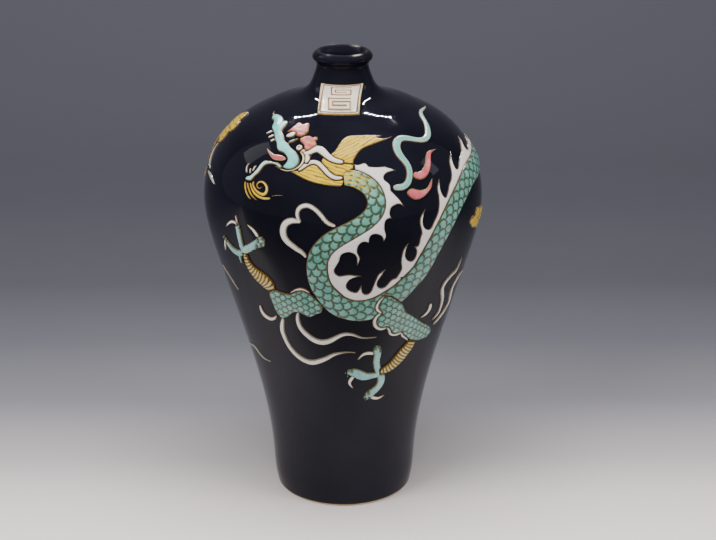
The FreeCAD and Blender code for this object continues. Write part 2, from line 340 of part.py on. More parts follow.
doc = FreeCAD.newDocument("meiping_vase")
sheet = doc.addObject("Spreadsheet::Sheet", "sizes")
for row, (alias, value) in enumerate(sizes.items(), start=1):
    sheet.set("A%d" % row, alias)
    sheet.set("B%d" % row, str(value))
    sheet.setAlias("B%d" % row, alias)
doc.recompute()


def size(alias):
    return float(sheet.get(alias))


HEIGHT = size("height")
nodes = {}


def keep(label, obj):
    # Every sub-part is kept under the name of its file
    obj.Label = label
    nodes[label] = obj
    return obj


def shaped(label, shape):
    obj = doc.addObject("Part::Feature", label)
    obj.Shape = shape
    obj.Placement = FreeCAD.Placement()
    return obj


# Profile curves in the plane of X and Z
def profile_points():
    foot = size("foot_diameter") / 2
    belly = size("belly_diameter") / 2
    neck = size("neck_diameter") / 2
    lip = size("lip_diameter") / 2
    bore = size("bore_diameter") / 2
    crest = bore + (lip - bore) * crest_share
    points = [(foot + (belly - foot) * part, level) for level, part in foot_to_belly_shares]
    points += [(neck + (belly - neck) * part, level) for level, part in belly_to_neck_shares]
    points += [(neck + (lip - neck) * part, level) for level, part in neck_to_lip_shares]
    points.append((crest, 1))
    points += [(bore + (crest - bore) * part, level) for level, part in throat_shares]
    return [Vector(radius, 0, level * HEIGHT) for radius, level in points]


def spline(points, closed=False):
    # A smooth curve through the points, spaced by the root of their distances so that it doesn't loop
    ends = points[1:] + points[:1] if closed else points[1:]
    spans = [math.sqrt(start.distanceToPoint(end)) for start, end in zip(points, ends)]
    curve = Part.BSplineCurve()
    curve.interpolate(Points=points, PeriodicFlag=closed,
                      Parameters=[sum(spans[:count]) for count in range(len(spans) + 1)])
    return curve


surface = spline(profile_points())
crest_place = surface.parameter(Vector(profile_points()[-1 - len(throat_shares)]))


def outward(place):
    # Outward normal of the profile, away from the clay
    along = surface.tangent(place)[0]
    return Vector(along.z, 0, -along.x)


def place_at(level):
    # Place on the profile, below the crest, at a share of the height
    low, high = surface.FirstParameter, crest_place
    while high - low > (crest_place - surface.FirstParameter) * place_tolerance:
        middle = (low + high) / 2
        if surface.value(middle).z < level * HEIGHT:
            low = middle
        else:
            high = middle
    return (low + high) / 2


def moved(place, distance):
    return surface.value(place) + outward(place) * distance


stations = [surface.parameter(point) for point in profile_points()]


def offset_curve(distance):
    return spline([moved(place, distance) for place in stations])


clay = offset_curve(-size("glaze_thickness"))
depth = size("glaze_thickness") + size("wall")
floor_top = size("foot_recess") + size("floor_thickness")
floor_radius = size("foot_diameter") / 2 * floor_corner_share
throat_end = clay.value(clay.LastParameter)
inner_low, inner_high = (place_at(share) for share in inner_wall_shares)
inner_places = [place for place in stations if inner_low < place < inner_high]
inner = spline([Vector(floor_radius, 0, floor_top)] + [moved(place, -depth) for place in inner_places]
               + [throat_end])


def seam(level, shift):
    # A seam square to the wall: its outer and inner ends
    place = place_at(level)
    along = surface.tangent(place)[0]
    outer = clay.parameter(moved(place, -size("glaze_thickness")) + along * shift)
    inside = inner.parameter(moved(place, -depth) + along * shift)
    return outer, inside


def revolved(edges):
    face = Part.Face(Part.Wire(Part.__sortEdges__(edges)))
    return face.revolve(Vector(0, 0, 0), Vector(0, 0, 1), 360)


def line(start, end):
    return Part.LineSegment(start, end).toShape()


def wall_ring(below, above):
    # A ring of the clay wall between two seams
    outer_low, inner_low = below
    outer_high, inner_high = above
    return revolved([
        clay.toShape(outer_low, outer_high),
        line(clay.value(outer_high), inner.value(inner_high)),
        inner.toShape(inner_low, inner_high),
        line(inner.value(inner_low), clay.value(outer_low)),
    ])


half_luting = size("luting_thickness") / 2
waist = [seam(waist_seam_share, shift) for shift in (-half_luting, half_luting)]
root = [seam(neck_seam_share, shift) for shift in (-half_luting, half_luting)]


# Lower half, with the turned foot ring and the recess under the floor
def lower_half():
    outer_high, inner_high = waist[0]
    foot = clay.value(clay.FirstParameter)
    bevel = size("foot_bevel")
    start = clay.parameter(Vector(foot.x, 0, bevel))
    axis_top = Vector(0, 0, floor_top)
    return revolved([
        clay.toShape(start, outer_high),
        line(clay.value(outer_high), inner.value(inner_high)),
        inner.toShape(inner.FirstParameter, inner_high),
        line(inner.value(inner.FirstParameter), axis_top),
        line(axis_top, Vector(0, 0, 0)),
        line(Vector(0, 0, 0), Vector(foot.x - bevel, 0, 0)),
        line(Vector(foot.x - bevel, 0, 0), clay.value(start)),
    ])


turned = shaped("lower_half", lower_half())
recess = doc.addObject("Part::Cone", "recess")
recess.setExpression("Radius1", "sizes.foot_diameter / 2 - sizes.foot_ring_width + sizes.foot_bevel")
recess.setExpression("Radius2", "sizes.foot_diameter / 2 - sizes.foot_ring_width - sizes.foot_bevel")
recess.setExpression("Height", "sizes.foot_recess")
lower_body = doc.addObject("Part::Cut", "lower_body")
lower_body.Base = turned
lower_body.Tool = recess
keep("lower_body", lower_body)

# Upper half, the luted neck with its rolled lip, and the slip in the two seams
keep("upper_body", shaped("upper_body", wall_ring(waist[1], root[0])))
keep("neck", shaped("neck", revolved([
    clay.toShape(root[1][0], clay.LastParameter),
    inner.toShape(root[1][1], inner.LastParameter),
    line(inner.value(root[1][1]), clay.value(root[1][0])),
])))
keep("waist_luting", shaped("waist_luting", wall_ring(waist[0], waist[1])))
keep("neck_luting", shaped("neck_luting", wall_ring(root[0], root[1])))


# Glaze from above the foot ring, over the lip and down the throat
def glaze():
    start = place_at(size("glaze_stop") / HEIGHT)
    clay_start = clay.parameter(moved(start, -size("glaze_thickness")))
    return revolved([
        surface.toShape(start, surface.LastParameter),
        line(surface.value(surface.LastParameter), clay.value(clay.LastParameter)),
        clay.toShape(clay_start, clay.LastParameter),
        line(clay.value(clay_start), surface.value(start)),
    ])


keep("glaze_coat", shaped("glaze_coat", glaze()))


# A layer on the glaze that every enamel is cut from
def layer(relief):
    top = offset_curve(relief)
    low, high = (place_at(share) for share in layer_shares)
    top_low, top_high = top.parameter(moved(low, relief)), top.parameter(moved(high, relief))
    return revolved([
        surface.toShape(low, high),
        line(surface.value(high), top.value(top_high)),
        top.toShape(top_low, top_high),
        line(top.value(top_low), surface.value(low)),
    ])


layers = {alias: layer(size(alias)) for alias in ("figure_relief", "ribbon_relief", "hair_relief")}


def on_glaze(turn, level):
    # A point on the glaze and the outward normal there
    place = place_at(level / 100)
    flat, normal = surface.value(place), outward(place)
    angle = math.radians(turn - 90)
    point = Vector(flat.x * math.cos(angle), flat.x * math.sin(angle), flat.z)
    return point, Vector(normal.x * math.cos(angle), normal.x * math.sin(angle), normal.z)


def route_curve(shares):
    # The middle line of a stroke, in millimetres round and up the surface, with its width along Z
    start = shares[0][1]
    mean = sum(row[1] for row in shares) / len(shares)
    radius = surface.value(place_at(mean / 100)).x
    rise = HEIGHT / 100 / math.sqrt(1 - outward(place_at(mean / 100)).z ** 2)
    scale = (math.radians(radius), rise)
    curve = spline([Vector(turn * scale[0], (level - start) * scale[1], 0) for turn, level, width in shares])
    places = [curve.parameter(Vector(turn * scale[0], (level - start) * scale[1], 0))
              for turn, level, width in shares]
    return curve, places, scale, start


def stroke_edges(shares, unit, first=0, last=None):
    # The two long edges of a stroke between two of its stations, as turns and levels
    curve, places, scale, start = route_curve(shares)
    last = len(shares) - 1 if last is None else last
    left, right = [], []
    for index in range(first, last):
        for part in (0, 0.5):
            stroke_point(shares, unit, curve, places, scale, start, index, part, left, right)
    stroke_point(shares, unit, curve, places, scale, start, last, 0, left, right)
    return left, right


def stroke_point(shares, unit, curve, places, scale, start, index, part, left, right):
    following = min(index + 1, len(shares) - 1)
    place = places[index] + (places[following] - places[index]) * part
    width = (shares[index][2] + (shares[following][2] - shares[index][2]) * part) * unit
    middle = curve.value(place)
    along = curve.tangent(place)[0]
    level = start + middle.y / scale[1]
    turn = middle.x / scale[0]
    here = place_at(level / 100)
    round_rate = math.radians(surface.value(here).x)
    rise_rate = HEIGHT / 100 / math.sqrt(1 - outward(here).z ** 2)
    step = Vector(along.x / scale[0] * round_rate, along.y / scale[1] * rise_rate, 0).normalize()
    across = (-step.y * width / 2 / round_rate, step.x * width / 2 / rise_rate)
    left.append((turn + across[0], level + across[1]))
    right.append((turn - across[0], level - across[1]))


def runs_of(outline):
    # An outline as runs between its corners
    corners = [index for index, row in enumerate(outline) if len(row) == 3]
    if not corners:
        return None
    turned_round = outline[corners[0]:] + outline[:corners[0] + 1]
    runs, run = [], [turned_round[0][:2]]
    for row in turned_round[1:]:
        run.append(row[:2])
        if len(row) == 3:
            runs.append(run)
            run = [row[:2]]
    return runs


def prism(runs, closed_run=None):
    # The runs laid on the plane that touches the glaze at their middle, and drawn through it
    rows = closed_run or [row for run in runs for row in run]
    middle_turn = (min(row[0] for row in rows) + max(row[0] for row in rows)) / 2
    middle_level = (min(row[1] for row in rows) + max(row[1] for row in rows)) / 2
    datum, normal = on_glaze(middle_turn, middle_level)
    heights = []

    def laid(row):
        point = on_glaze(row[0], row[1])[0]
        height = (point - datum).dot(normal)
        heights.append(height)
        return point - normal * height

    if closed_run:
        edges = [spline([laid(row) for row in closed_run], True).toShape()]
    else:
        edges = []
        for run in runs:
            points = [laid(row) for row in run]
            edges.append(line(points[0], points[1]) if len(points) == 2 else spline(points).toShape())
    low, high = min(heights) - size("prism_margin"), max(heights) + size("prism_margin")
    face = Part.Face(Part.Wire(edges))
    face.translate(normal * low)
    return face.extrude(normal * (high - low))


def outline_prism(outline):
    runs = runs_of(outline)
    return prism(runs) if runs else prism(None, [row[:2] for row in outline])


def stroke_prism(shares, unit, first=0, last=None):
    left, right = stroke_edges(shares, unit, first, last)
    back = right[::-1]
    return prism([left, [left[-1], back[0]], back, [back[-1], left[0]]])


taken = []


def solids_of(shape):
    whole = [solid for solid in shape.Solids if solid.Volume > size("least_edge") ** 3]
    return whole[0] if len(whole) == 1 else Part.makeCompound(whole)


def enamel(label, prisms, relief, joined=False):
    # One enamel cut from its layer, clear of every enamel that was laid before it
    pieces, boxes = [], []
    for body in prisms:
        if not body.isValid():
            raise RuntimeError("the outline of %s crosses itself" % label)
        piece = body.common(layers[relief])
        boxes.append(piece.BoundBox)
        for other, box in taken:
            if piece.BoundBox.intersect(box):
                piece = piece.cut(other)
        if not joined:
            for earlier in pieces:
                if piece.BoundBox.intersect(earlier.BoundBox):
                    piece = piece.cut(earlier)
        pieces += piece.Solids
    shape = pieces[0].fuse(pieces[1:]).removeSplitter() if joined and len(pieces) > 1 else Part.makeCompound(pieces)
    taken.extend(zip(prisms, boxes))
    return keep(label, shaped(label, solids_of(shape)))


def strokes(tables, width="stroke_width"):
    return [stroke_prism(table, size(width)) for table in tables]


# Head: what lies on top is laid first, and the rest is cut round it
eye_point, eye_normal = on_glaze(*eye_share)
eye_ball = doc.addObject("Part::Sphere", "eye_ball")
eye_ball.setExpression("Radius", "sizes.eye_diameter / 2")
eye_ball.Placement = FreeCAD.Placement(eye_point, FreeCAD.Rotation())
vase_core = shaped("vase_core", revolved([
    surface.toShape(surface.FirstParameter, crest_place),
    line(surface.value(crest_place), Vector(0, 0, surface.value(crest_place).z)),
    line(Vector(0, 0, surface.value(crest_place).z), Vector(0, 0, 0)),
    line(Vector(0, 0, 0), surface.value(surface.FirstParameter)),
]))
eye = doc.addObject("Part::Cut", "eye")
eye.Base = eye_ball
eye.Tool = vase_core
keep("eye", eye)
eye_seat = Part.makeCylinder(size("eye_diameter") / 2, size("eye_diameter") * 2,
                             eye_point - eye_normal * size("eye_diameter"), eye_normal)
taken.append((eye_seat, eye_seat.BoundBox))
enamel("snout", [outline_prism(snout_shares), outline_prism(brow_curl_shares)], "figure_relief")
enamel("tongue", [outline_prism(tongue_shares)], "ribbon_relief")
enamel("lower_jaw", [outline_prism(jaw_shares)], "figure_relief")
enamel("brow", strokes([brow_tuft_shares]), "ribbon_relief")
enamel("upper_teeth", strokes(upper_teeth_shares), "ribbon_relief")
enamel("lower_teeth", strokes(lower_teeth_shares), "ribbon_relief")
enamel("cheek_rim", strokes([cheek_rim_shares]), "ribbon_relief")
enamel("crest_upper", [outline_prism(crest_upper_shares)], "figure_relief")
enamel("crest_lower", [outline_prism(crest_lower_shares)], "figure_relief")
enamel("horn_upper", strokes([horn_upper_shares, horn_root_shares], "horn_width"), "figure_relief", True)
enamel("horn_lower", strokes([horn_lower_shares], "horn_width"), "figure_relief")
enamel("face", [outline_prism(face_shares)], "ribbon_relief")
enamel("beard", strokes(beard_shares + [nose_hair_shares]), "hair_relief")
enamel("mane_upper", [outline_prism(mane_upper_shares)], "ribbon_relief")
enamel("mane_middle", [outline_prism(mane_middle_shares)], "ribbon_relief")
enamel("mane_lower", [outline_prism(mane_lower_shares)], "ribbon_relief")

# Right foreleg, which crosses the trunk, then the trunk, then the fins behind its edge
enamel("thigh_edging", strokes(edging_shares, "ribbon_width"), "ribbon_relief")
enamel("right_thigh", [outline_prism(right_thigh_shares)], "figure_relief")
enamel("hind_thighs", strokes(hind_thigh_shares), "figure_relief")
for label, first, last in zip(("trunk_neck", "trunk_loop", "trunk_side", "trunk_back", "trunk_tail"),
                              trunk_cuts, trunk_cuts[1:]):
    if label == "trunk_tail":
        parts = [stroke_prism(trunk_shares, size("trunk_width"), first, tail_cut),
                 stroke_prism(trunk_shares, size("trunk_width"), tail_cut, last)]
        enamel(label, parts, "figure_relief", True)
    else:
        enamel(label, [stroke_prism(trunk_shares, size("trunk_width"), first, last)], "figure_relief")
enamel("neck_fin", [outline_prism(neck_fin_shares)], "ribbon_relief")
enamel("loop_fin", [outline_prism(loop_fin_shares)], "ribbon_relief")
enamel("side_fin", [outline_prism(side_fin_shares)], "ribbon_relief")


# The fin round the back: flames that lean along the trunk, longer in the middle
def back_fin():
    left, right = stroke_edges(trunk_shares, size("trunk_width"), *back_fin_cuts)
    inner_left = stroke_edges(trunk_shares, size("trunk_width") / 2, *back_fin_cuts)[0]
    flames = []
    for index in range(1, len(left) - 3, 2):
        turn, level = left[index]
        here = place_at(level / 100)
        round_rate = math.radians(surface.value(here).x)
        rise_rate = HEIGHT / 100 / math.sqrt(1 - outward(here).z ** 2)
        across = Vector((left[index][0] - right[index][0]) * round_rate,
                        (left[index][1] - right[index][1]) * rise_rate, 0).normalize()
        reach_round = across.x * size("fin_depth") / round_rate
        reach_up = across.y * size("fin_depth") / rise_rate
        tip = (left[index + 2][0] + reach_round, left[index + 2][1] + reach_up)
        waist_point = (left[index + 1][0] + reach_round * flame_waist_share,
                       left[index + 1][1] + reach_up * flame_waist_share)
        edge = (left[index - 1][0] + reach_round * flame_root_share, left[index - 1][1] + reach_up * flame_root_share)
        flames.append(prism([[left[index - 1], edge], [edge, waist_point, tip], [tip, left[index + 2]],
                             [left[index + 2], inner_left[index + 1], left[index - 1]]]))
    return flames


enamel("back_fin", back_fin(), "ribbon_relief")

# Left foreleg, paws and claws
enamel("left_thigh", [outline_prism(left_thigh_shares)], "figure_relief")
enamel("left_shin", strokes([left_shin_shares]), "figure_relief")
enamel("left_paw", strokes(left_toe_shares), "figure_relief", True)
enamel("left_claws", strokes(left_claw_shares), "hair_relief")
enamel("left_tufts", strokes(left_tuft_shares, "ribbon_width"), "ribbon_relief")
enamel("right_shin", strokes([right_shin_shares]), "figure_relief")
enamel("right_paw", strokes(right_toe_shares), "figure_relief", True)
enamel("right_claws", strokes(right_claw_shares), "hair_relief")
enamel("right_tuft", strokes([right_tuft_shares], "ribbon_width"), "ribbon_relief")
enamel("hind_shins", strokes(hind_shin_shares), "figure_relief")
enamel("hind_paws", strokes(hind_toe_shares), "figure_relief", True)
enamel("hind_claws", strokes(hind_claw_shares), "hair_relief")
enamel("tail_tuft", strokes(tail_tuft_shares), "ribbon_relief", True)

# Ribbons, whiskers, flames and clouds
enamel("heart_ribbon", strokes(heart_ribbon_shares, "ribbon_width"), "ribbon_relief")
enamel("whisker_outer", strokes([whisker_outer_shares], "ribbon_width"), "ribbon_relief")
enamel("whisker_inner", strokes([whisker_inner_shares], "ribbon_width"), "ribbon_relief")
enamel("wave_ribbons", strokes(wave_ribbon_shares, "ribbon_width"), "ribbon_relief")
enamel("flame_ribbon", strokes([flame_ribbon_shares]), "ribbon_relief")
enamel("pink_flame", strokes([pink_flame_shares]), "ribbon_relief")
enamel("pink_crescent", [outline_prism(crescent_shares)], "ribbon_relief")
enamel("right_cloud", [outline_prism(right_cloud_shares)], "ribbon_relief")
enamel("left_cloud", [outline_prism(left_cloud_shares)], "ribbon_relief")
enamel("tail_wisps", strokes(tail_wisp_shares), "hair_relief")


# Label: a field in a border, with two square frets let into the field
def label_panel(inset):
    # A panel drawn through the front half, seen from the front
    width = size("label_width")
    middle = width * label_middle_share
    low, high = (level / 100 * HEIGHT for level in label_levels_shares)
    lean = width * label_lean_share
    rise = inset * (high - low) / width
    half = width / 2 - inset
    corners = [Vector(middle - half, 0, low + rise), Vector(middle + half, 0, low + rise),
               Vector(middle + half + lean, 0, high - rise), Vector(middle - half + lean, 0, high - rise)]
    face = Part.Face(Part.makePolygon(corners + corners[:1]))
    return face.extrude(Vector(0, -size("belly_diameter"), 0))


def fret_bars():
    # Each fret is a square spiral of bars
    bars = []
    bar = size("fret_bar")
    label_low, label_high = label_levels_shares
    for (low_level, high_level), half_share in zip(fret_levels_shares, fret_half_shares):
        rise_part = ((low_level + high_level) / 2 - label_low) / (label_high - label_low)
        middle = size("label_width") * (label_middle_share + label_lean_share * rise_part)
        half = size("label_width") * half_share
        low, high = low_level / 100 * HEIGHT, high_level / 100 * HEIGHT
        thick = (high - low) / fret_rows
        left = middle - half
        right = middle + half
        inner_left = left + bar * 2
        inner_right = right - bar * 2
        boxes = [(left, right, high - thick, high), (left, left + bar, low, high), (left, right, low, low + thick),
                 (right - bar, right, low, high - thick * 2),
                 (inner_left, right, high - thick * 3, high - thick * 2),
                 (inner_left, inner_left + bar, low + thick * 2, high - thick * 2),
                 (inner_left, inner_right, low + thick * 2, low + thick * 3)]
        shape = None
        for x0, x1, z0, z1 in boxes:
            solid = Part.makeBox(x1 - x0, size("belly_diameter"), z1 - z0, Vector(x0, -size("belly_diameter"), z0))
            shape = shape.fuse(solid) if shape else solid
        bars.append(shape.removeSplitter())
    return bars


enamel("label_fret", fret_bars(), "ribbon_relief")
enamel("label_field", [label_panel(size("label_border_width"))], "hair_relief")
enamel("label_border", [label_panel(0)], "ribbon_relief")

doc.recompute()
for obj in doc.Objects:
    if "Invalid" in obj.State or "Error" in obj.State:
        raise RuntimeError("%s did not build" % obj.Label)
for label, obj in nodes.items():
    if obj.Shape.isNull() or not obj.Shape.isValid():
        raise RuntimeError("%s has no valid shape" % label)

os.makedirs("parts", exist_ok=True)
for label, obj in nodes.items():
    obj.Shape.exportStep("parts/%s.step" % label)
    print("%-16s %2d solids %10.1f mm3" % (label, len(obj.Shape.Solids), obj.Shape.Volume))
print(len(nodes), "sub-parts")
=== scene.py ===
import math

import bmesh
import bpy
import numpy as np
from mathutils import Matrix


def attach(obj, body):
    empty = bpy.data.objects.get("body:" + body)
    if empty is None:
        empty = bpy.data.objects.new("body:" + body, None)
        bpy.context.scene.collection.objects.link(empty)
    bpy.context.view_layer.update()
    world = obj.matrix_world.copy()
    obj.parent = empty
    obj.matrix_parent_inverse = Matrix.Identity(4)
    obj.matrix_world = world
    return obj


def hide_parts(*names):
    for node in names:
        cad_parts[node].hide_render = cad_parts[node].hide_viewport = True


# Meiping vase, 400 mm tall: dark glaze over stoneware, with a dragon and a label trailed on it in
# raised enamels. Each enamel is its own piece, outlined in brown slip. Sizes are in millimetres, turn
# is in degrees from the front towards +X, level in hundredths of the height, and widths are shares of
# the stroke width.
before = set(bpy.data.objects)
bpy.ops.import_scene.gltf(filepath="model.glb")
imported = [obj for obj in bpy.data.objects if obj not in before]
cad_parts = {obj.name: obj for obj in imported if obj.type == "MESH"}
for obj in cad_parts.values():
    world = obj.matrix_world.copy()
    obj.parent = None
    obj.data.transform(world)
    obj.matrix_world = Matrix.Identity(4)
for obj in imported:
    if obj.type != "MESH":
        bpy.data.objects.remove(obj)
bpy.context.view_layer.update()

vaseHeight = 400.0
strokeUnit, ribbonUnit, hornUnit, trunkUnit = 10.0, 12.0, 14.0, 20.0
metre = 0.001
formPitch, linePitch = 0.8, 0.7


def colour(code):
    # A shader colour from an sRGB code
    parts = [int(code[place:place + 2], 16) / 255 for place in (1, 3, 5)]
    return [part / 12.92 if part <= 0.04045 else ((part + 0.055) / 1.055) ** 2.4 for part in parts] + [1]


# Smooth curve through points, spaced by the root of their distances so that it doesn't loop
def smoothCurve(points, pitch, closed=False):
    points = np.array(points, float)
    first, last = 0, len(points) - 1
    if closed:
        wrap = 4
        points = np.vstack([points[-wrap:], points, points[:wrap + 1]])
        first, last = wrap, len(points) - wrap - 1
    gaps = np.linalg.norm(np.diff(points[:, :2], axis=0), axis=1)
    spans = np.sqrt(gaps)
    rises = np.diff(points, axis=0) / spans[:, None]
    count = len(points)
    matrix, right = np.zeros((count, count)), np.zeros(points.shape)
    matrix[0, :2], right[0] = (2, 1), 3 * rises[0]
    matrix[-1, -2:], right[-1] = (1, 2), 3 * rises[-1]
    for place in range(1, count - 1):
        before, after = spans[place - 1], spans[place]
        matrix[place, place - 1:place + 2] = after, 2 * (before + after), before
        right[place] = 3 * (after * rises[place - 1] + before * rises[place])
    slopes = np.linalg.solve(matrix, right)
    rows = []
    for place in range(first, last):
        steps = max(1, round(gaps[place] / pitch))
        part = (np.arange(steps) / steps)[:, None]
        rest = 1 - part
        rows.append(points[place] * (1 + 2 * part) * rest ** 2 + slopes[place] * spans[place] * part * rest ** 2
                    + points[place + 1] * (3 - 2 * part) * part ** 2
                    - slopes[place + 1] * spans[place] * rest * part ** 2)
    if not closed:
        rows.append(points[last:last + 1])
    return np.vstack(rows)


# Profile of the vase, from the foot over the lip and down the throat
profile = {
    "foot": 60.75, "belly": 120.0, "neck": 22.2, "lip": 25.4, "bore": 16.5, "crest": 0.53,
    "footToBelly": [(0, 0), (0.0375, 0.043), (0.1, 0.0717), (0.2, 0.168), (0.3, 0.32), (0.4, 0.5122),
        (0.5, 0.7114), (0.6, 0.909), (0.675, 1)],
    "bellyToNeck": [(0.7375, 0.9785), (0.78, 0.9202), (0.8175, 0.8221), (0.845, 0.7157), (0.8675, 0.5849),
        (0.8825, 0.4652), (0.895, 0.3507), (0.9075, 0.1851), (0.925, 0.0695), (0.9475, 0.0235), (0.965, 0)],
    "neckToLip": [(0.975, 0.125), (0.985, 1), (0.99375, 0.75)],
    "throat": [(0.9965, 0.45), (0.987, 0.02), (0.967, 0), (0.94, 0.5)],
    "glazeStop": 1.5, "glazeThickness": 0.5, "steps": 256,
}


def between(low, high, shares):
    return [((low + (high - low) * part), level * vaseHeight) for level, part in shares]


crestRadius = profile["bore"] + (profile["lip"] - profile["bore"]) * profile["crest"]
profileLine = smoothCurve(
    between(profile["foot"], profile["belly"], profile["footToBelly"])
    + between(profile["neck"], profile["belly"], profile["bellyToNeck"])
    + between(profile["neck"], profile["lip"], profile["neckToLip"])
    + [(crestRadius, vaseHeight)]
    + between(profile["bore"], crestRadius, profile["throat"]), formPitch)
profileSlope = np.gradient(profileLine, axis=0)
profileNormal = np.stack([profileSlope[:, 1], -profileSlope[:, 0]], 1)
profileNormal /= np.linalg.norm(profileNormal, axis=1, keepdims=True)
outside = slice(0, int(profileLine[:, 1].argmax()) + 1)


def wallAt(level):
    # Radius and outward normal of the glaze at a level
    rise = np.asarray(level, float) / 100 * vaseHeight
    values = profileLine[:, 0], profileNormal[:, 0], profileNormal[:, 1]
    return [np.interp(rise, profileLine[outside, 1], value[outside]) for value in values]


def onVase(turn, level, height):
    # Points that stand off the glaze by a height
    radius, outward, upward = wallAt(level)
    reach = radius + outward * height
    angle = np.radians(turn)
    rise = np.asarray(level, float) / 100 * vaseHeight + upward * height
    return np.stack([reach * np.sin(angle), -reach * np.cos(angle), rise], -1) * metre


def millimetresPer(level):
    # Millimetres round the glaze per degree, and up it per level
    radius, outward, upward = wallAt(level)
    return np.radians(radius), vaseHeight / 100 / np.maximum(outward, 0.2)


# Places and lines on the glaze
def outlineRing(outline):
    # A closed line in turns and levels, smooth between its corners, which are marked by a third number
    rows = [row[:2] for row in outline]
    corners = [place for place, row in enumerate(outline) if len(row) == 3]
    scale = np.array(millimetresPer(np.mean([row[1] for row in rows])))
    if not corners:
        return smoothCurve(np.array(rows) * scale, linePitch, True) / scale
    rows = rows[corners[0]:] + rows[:corners[0] + 1]
    stops = [place - corners[0] for place in corners] + [len(outline)]
    runs = [smoothCurve(np.array(rows[low:high + 1]) * scale, linePitch)[:-1] for low, high in zip(stops, stops[1:])]
    return np.vstack(runs) / scale


def strokePath(route, unit, pitch=linePitch, first=0, last=None):
    # Turn, level, width, direction and length so far along the middle of a stroke
    route = np.array(route, float)
    scale = np.array([*millimetresPer(route[:, 1].mean()), unit])
    rows = smoothCurve(route * scale, pitch) / scale
    rates = np.stack(millimetresPer(rows[:, 1]), 1)
    steps = np.diff(rows[:, :2], axis=0) * (rates[1:] + rates[:-1]) / 2
    lengths = np.concatenate([[0], np.cumsum(np.linalg.norm(steps, axis=1))])
    along = np.gradient(rows[:, :2], axis=0) * rates
    along /= np.linalg.norm(along, axis=1, keepdims=True)
    path = np.column_stack([rows[:, :2], rows[:, 2] * unit, along, lengths])
    if last is None:
        return path
    ends = [np.linalg.norm((rows[:, :2] - route[place, :2]) * scale[:2], axis=1).argmin() for place in (first, last)]
    return path[ends[0]:ends[1] + 1]


def strokeSides(path):
    # The two edges of a stroke, in turns and levels
    across = np.stack([-path[:, 4], path[:, 3]], 1) * path[:, 2:3] / 2 / np.stack(millimetresPer(path[:, 1]), 1)
    return path[:, :2] + across, path[:, :2] - across


def strokeRing(path):
    left, right = strokeSides(path)
    return np.vstack([left, right[::-1]])


def depthInside(points, ring, openEnds=(), openReach=1.6):
    # How far points lie inside a closed line, open ends left out; below zero outside it
    start, end = ring, np.roll(ring, -1, axis=0)
    lined = np.ones(len(ring), bool)
    for first, last in openEnds:
        way = (last - first) / np.linalg.norm(last - first)
        normal = np.array([-way[1], way[0]])
        aside = np.abs((start - first) @ normal) + np.abs((end - first) @ normal)
        middle = (start + end) / 2
        lined &= ~((aside < openReach) & ((middle - first) @ way > 0) & ((middle - last) @ way < 0))
    span = end - start
    squares = (span ** 2).sum(1) + 1e-12
    slope = span[:, 0] / np.where(span[:, 1] == 0, 1e-12, span[:, 1])
    batch = 2000
    depths = []
    for low in range(0, len(points), batch):
        offset = points[low:low + batch, None] - start
        part = np.clip((offset * span).sum(2) / squares, 0, 1)[..., None]
        near = np.sqrt(((offset - part * span) ** 2).sum(2)[:, lined].min(1))
        above = start[:, 1] > points[low:low + batch, None, 1]
        crossed = above != (end[:, 1] > points[low:low + batch, None, 1])
        left = offset[..., 0] < offset[..., 1] * slope
        inside = (crossed & left).sum(1) % 2 == 1
        depths.append(np.where(inside, near, -near))
    return np.concatenate(depths)


# Flat sheets, raised into closed crowned forms on the glaze; earlier ones lie over later ones. A held
# ring counts only once its whole group is laid. A form sinks over the margin to an enamel that covers
# it, and has only a share of its relief at its rim
laidRings, heldRings = [], []
laying = {"margin": 0.9, "sunk": 0.25, "underside": -0.35, "rim": 0.35, "crown": 1.5, "near": 1.5, "far": 50.0}
knuckle = {"reach": 0.3, "width": 0.3, "linePitch": 0.3, "formPitch": 0.4}


def vertsOf(items):
    return [item for item in items if isinstance(item, bmesh.types.BMVert)]


def raised(sheet):
    # The sheet closed underneath by a copy of itself; the top lies at 1
    top = bmesh.ops.extrude_face_region(sheet, geom=sheet.faces[:], use_keep_orig=True)
    bmesh.ops.translate(sheet, vec=(0, 0, 1), verts=vertsOf(top["geom"]))
    bmesh.ops.recalc_face_normals(sheet, faces=sheet.faces)
    mesh = bpy.data.meshes.new("form")
    sheet.to_mesh(mesh)
    sheet.free()
    flat = np.empty(len(mesh.vertices) * 3)
    mesh.vertices.foreach_get("co", flat)
    return mesh, flat.reshape(-1, 3)


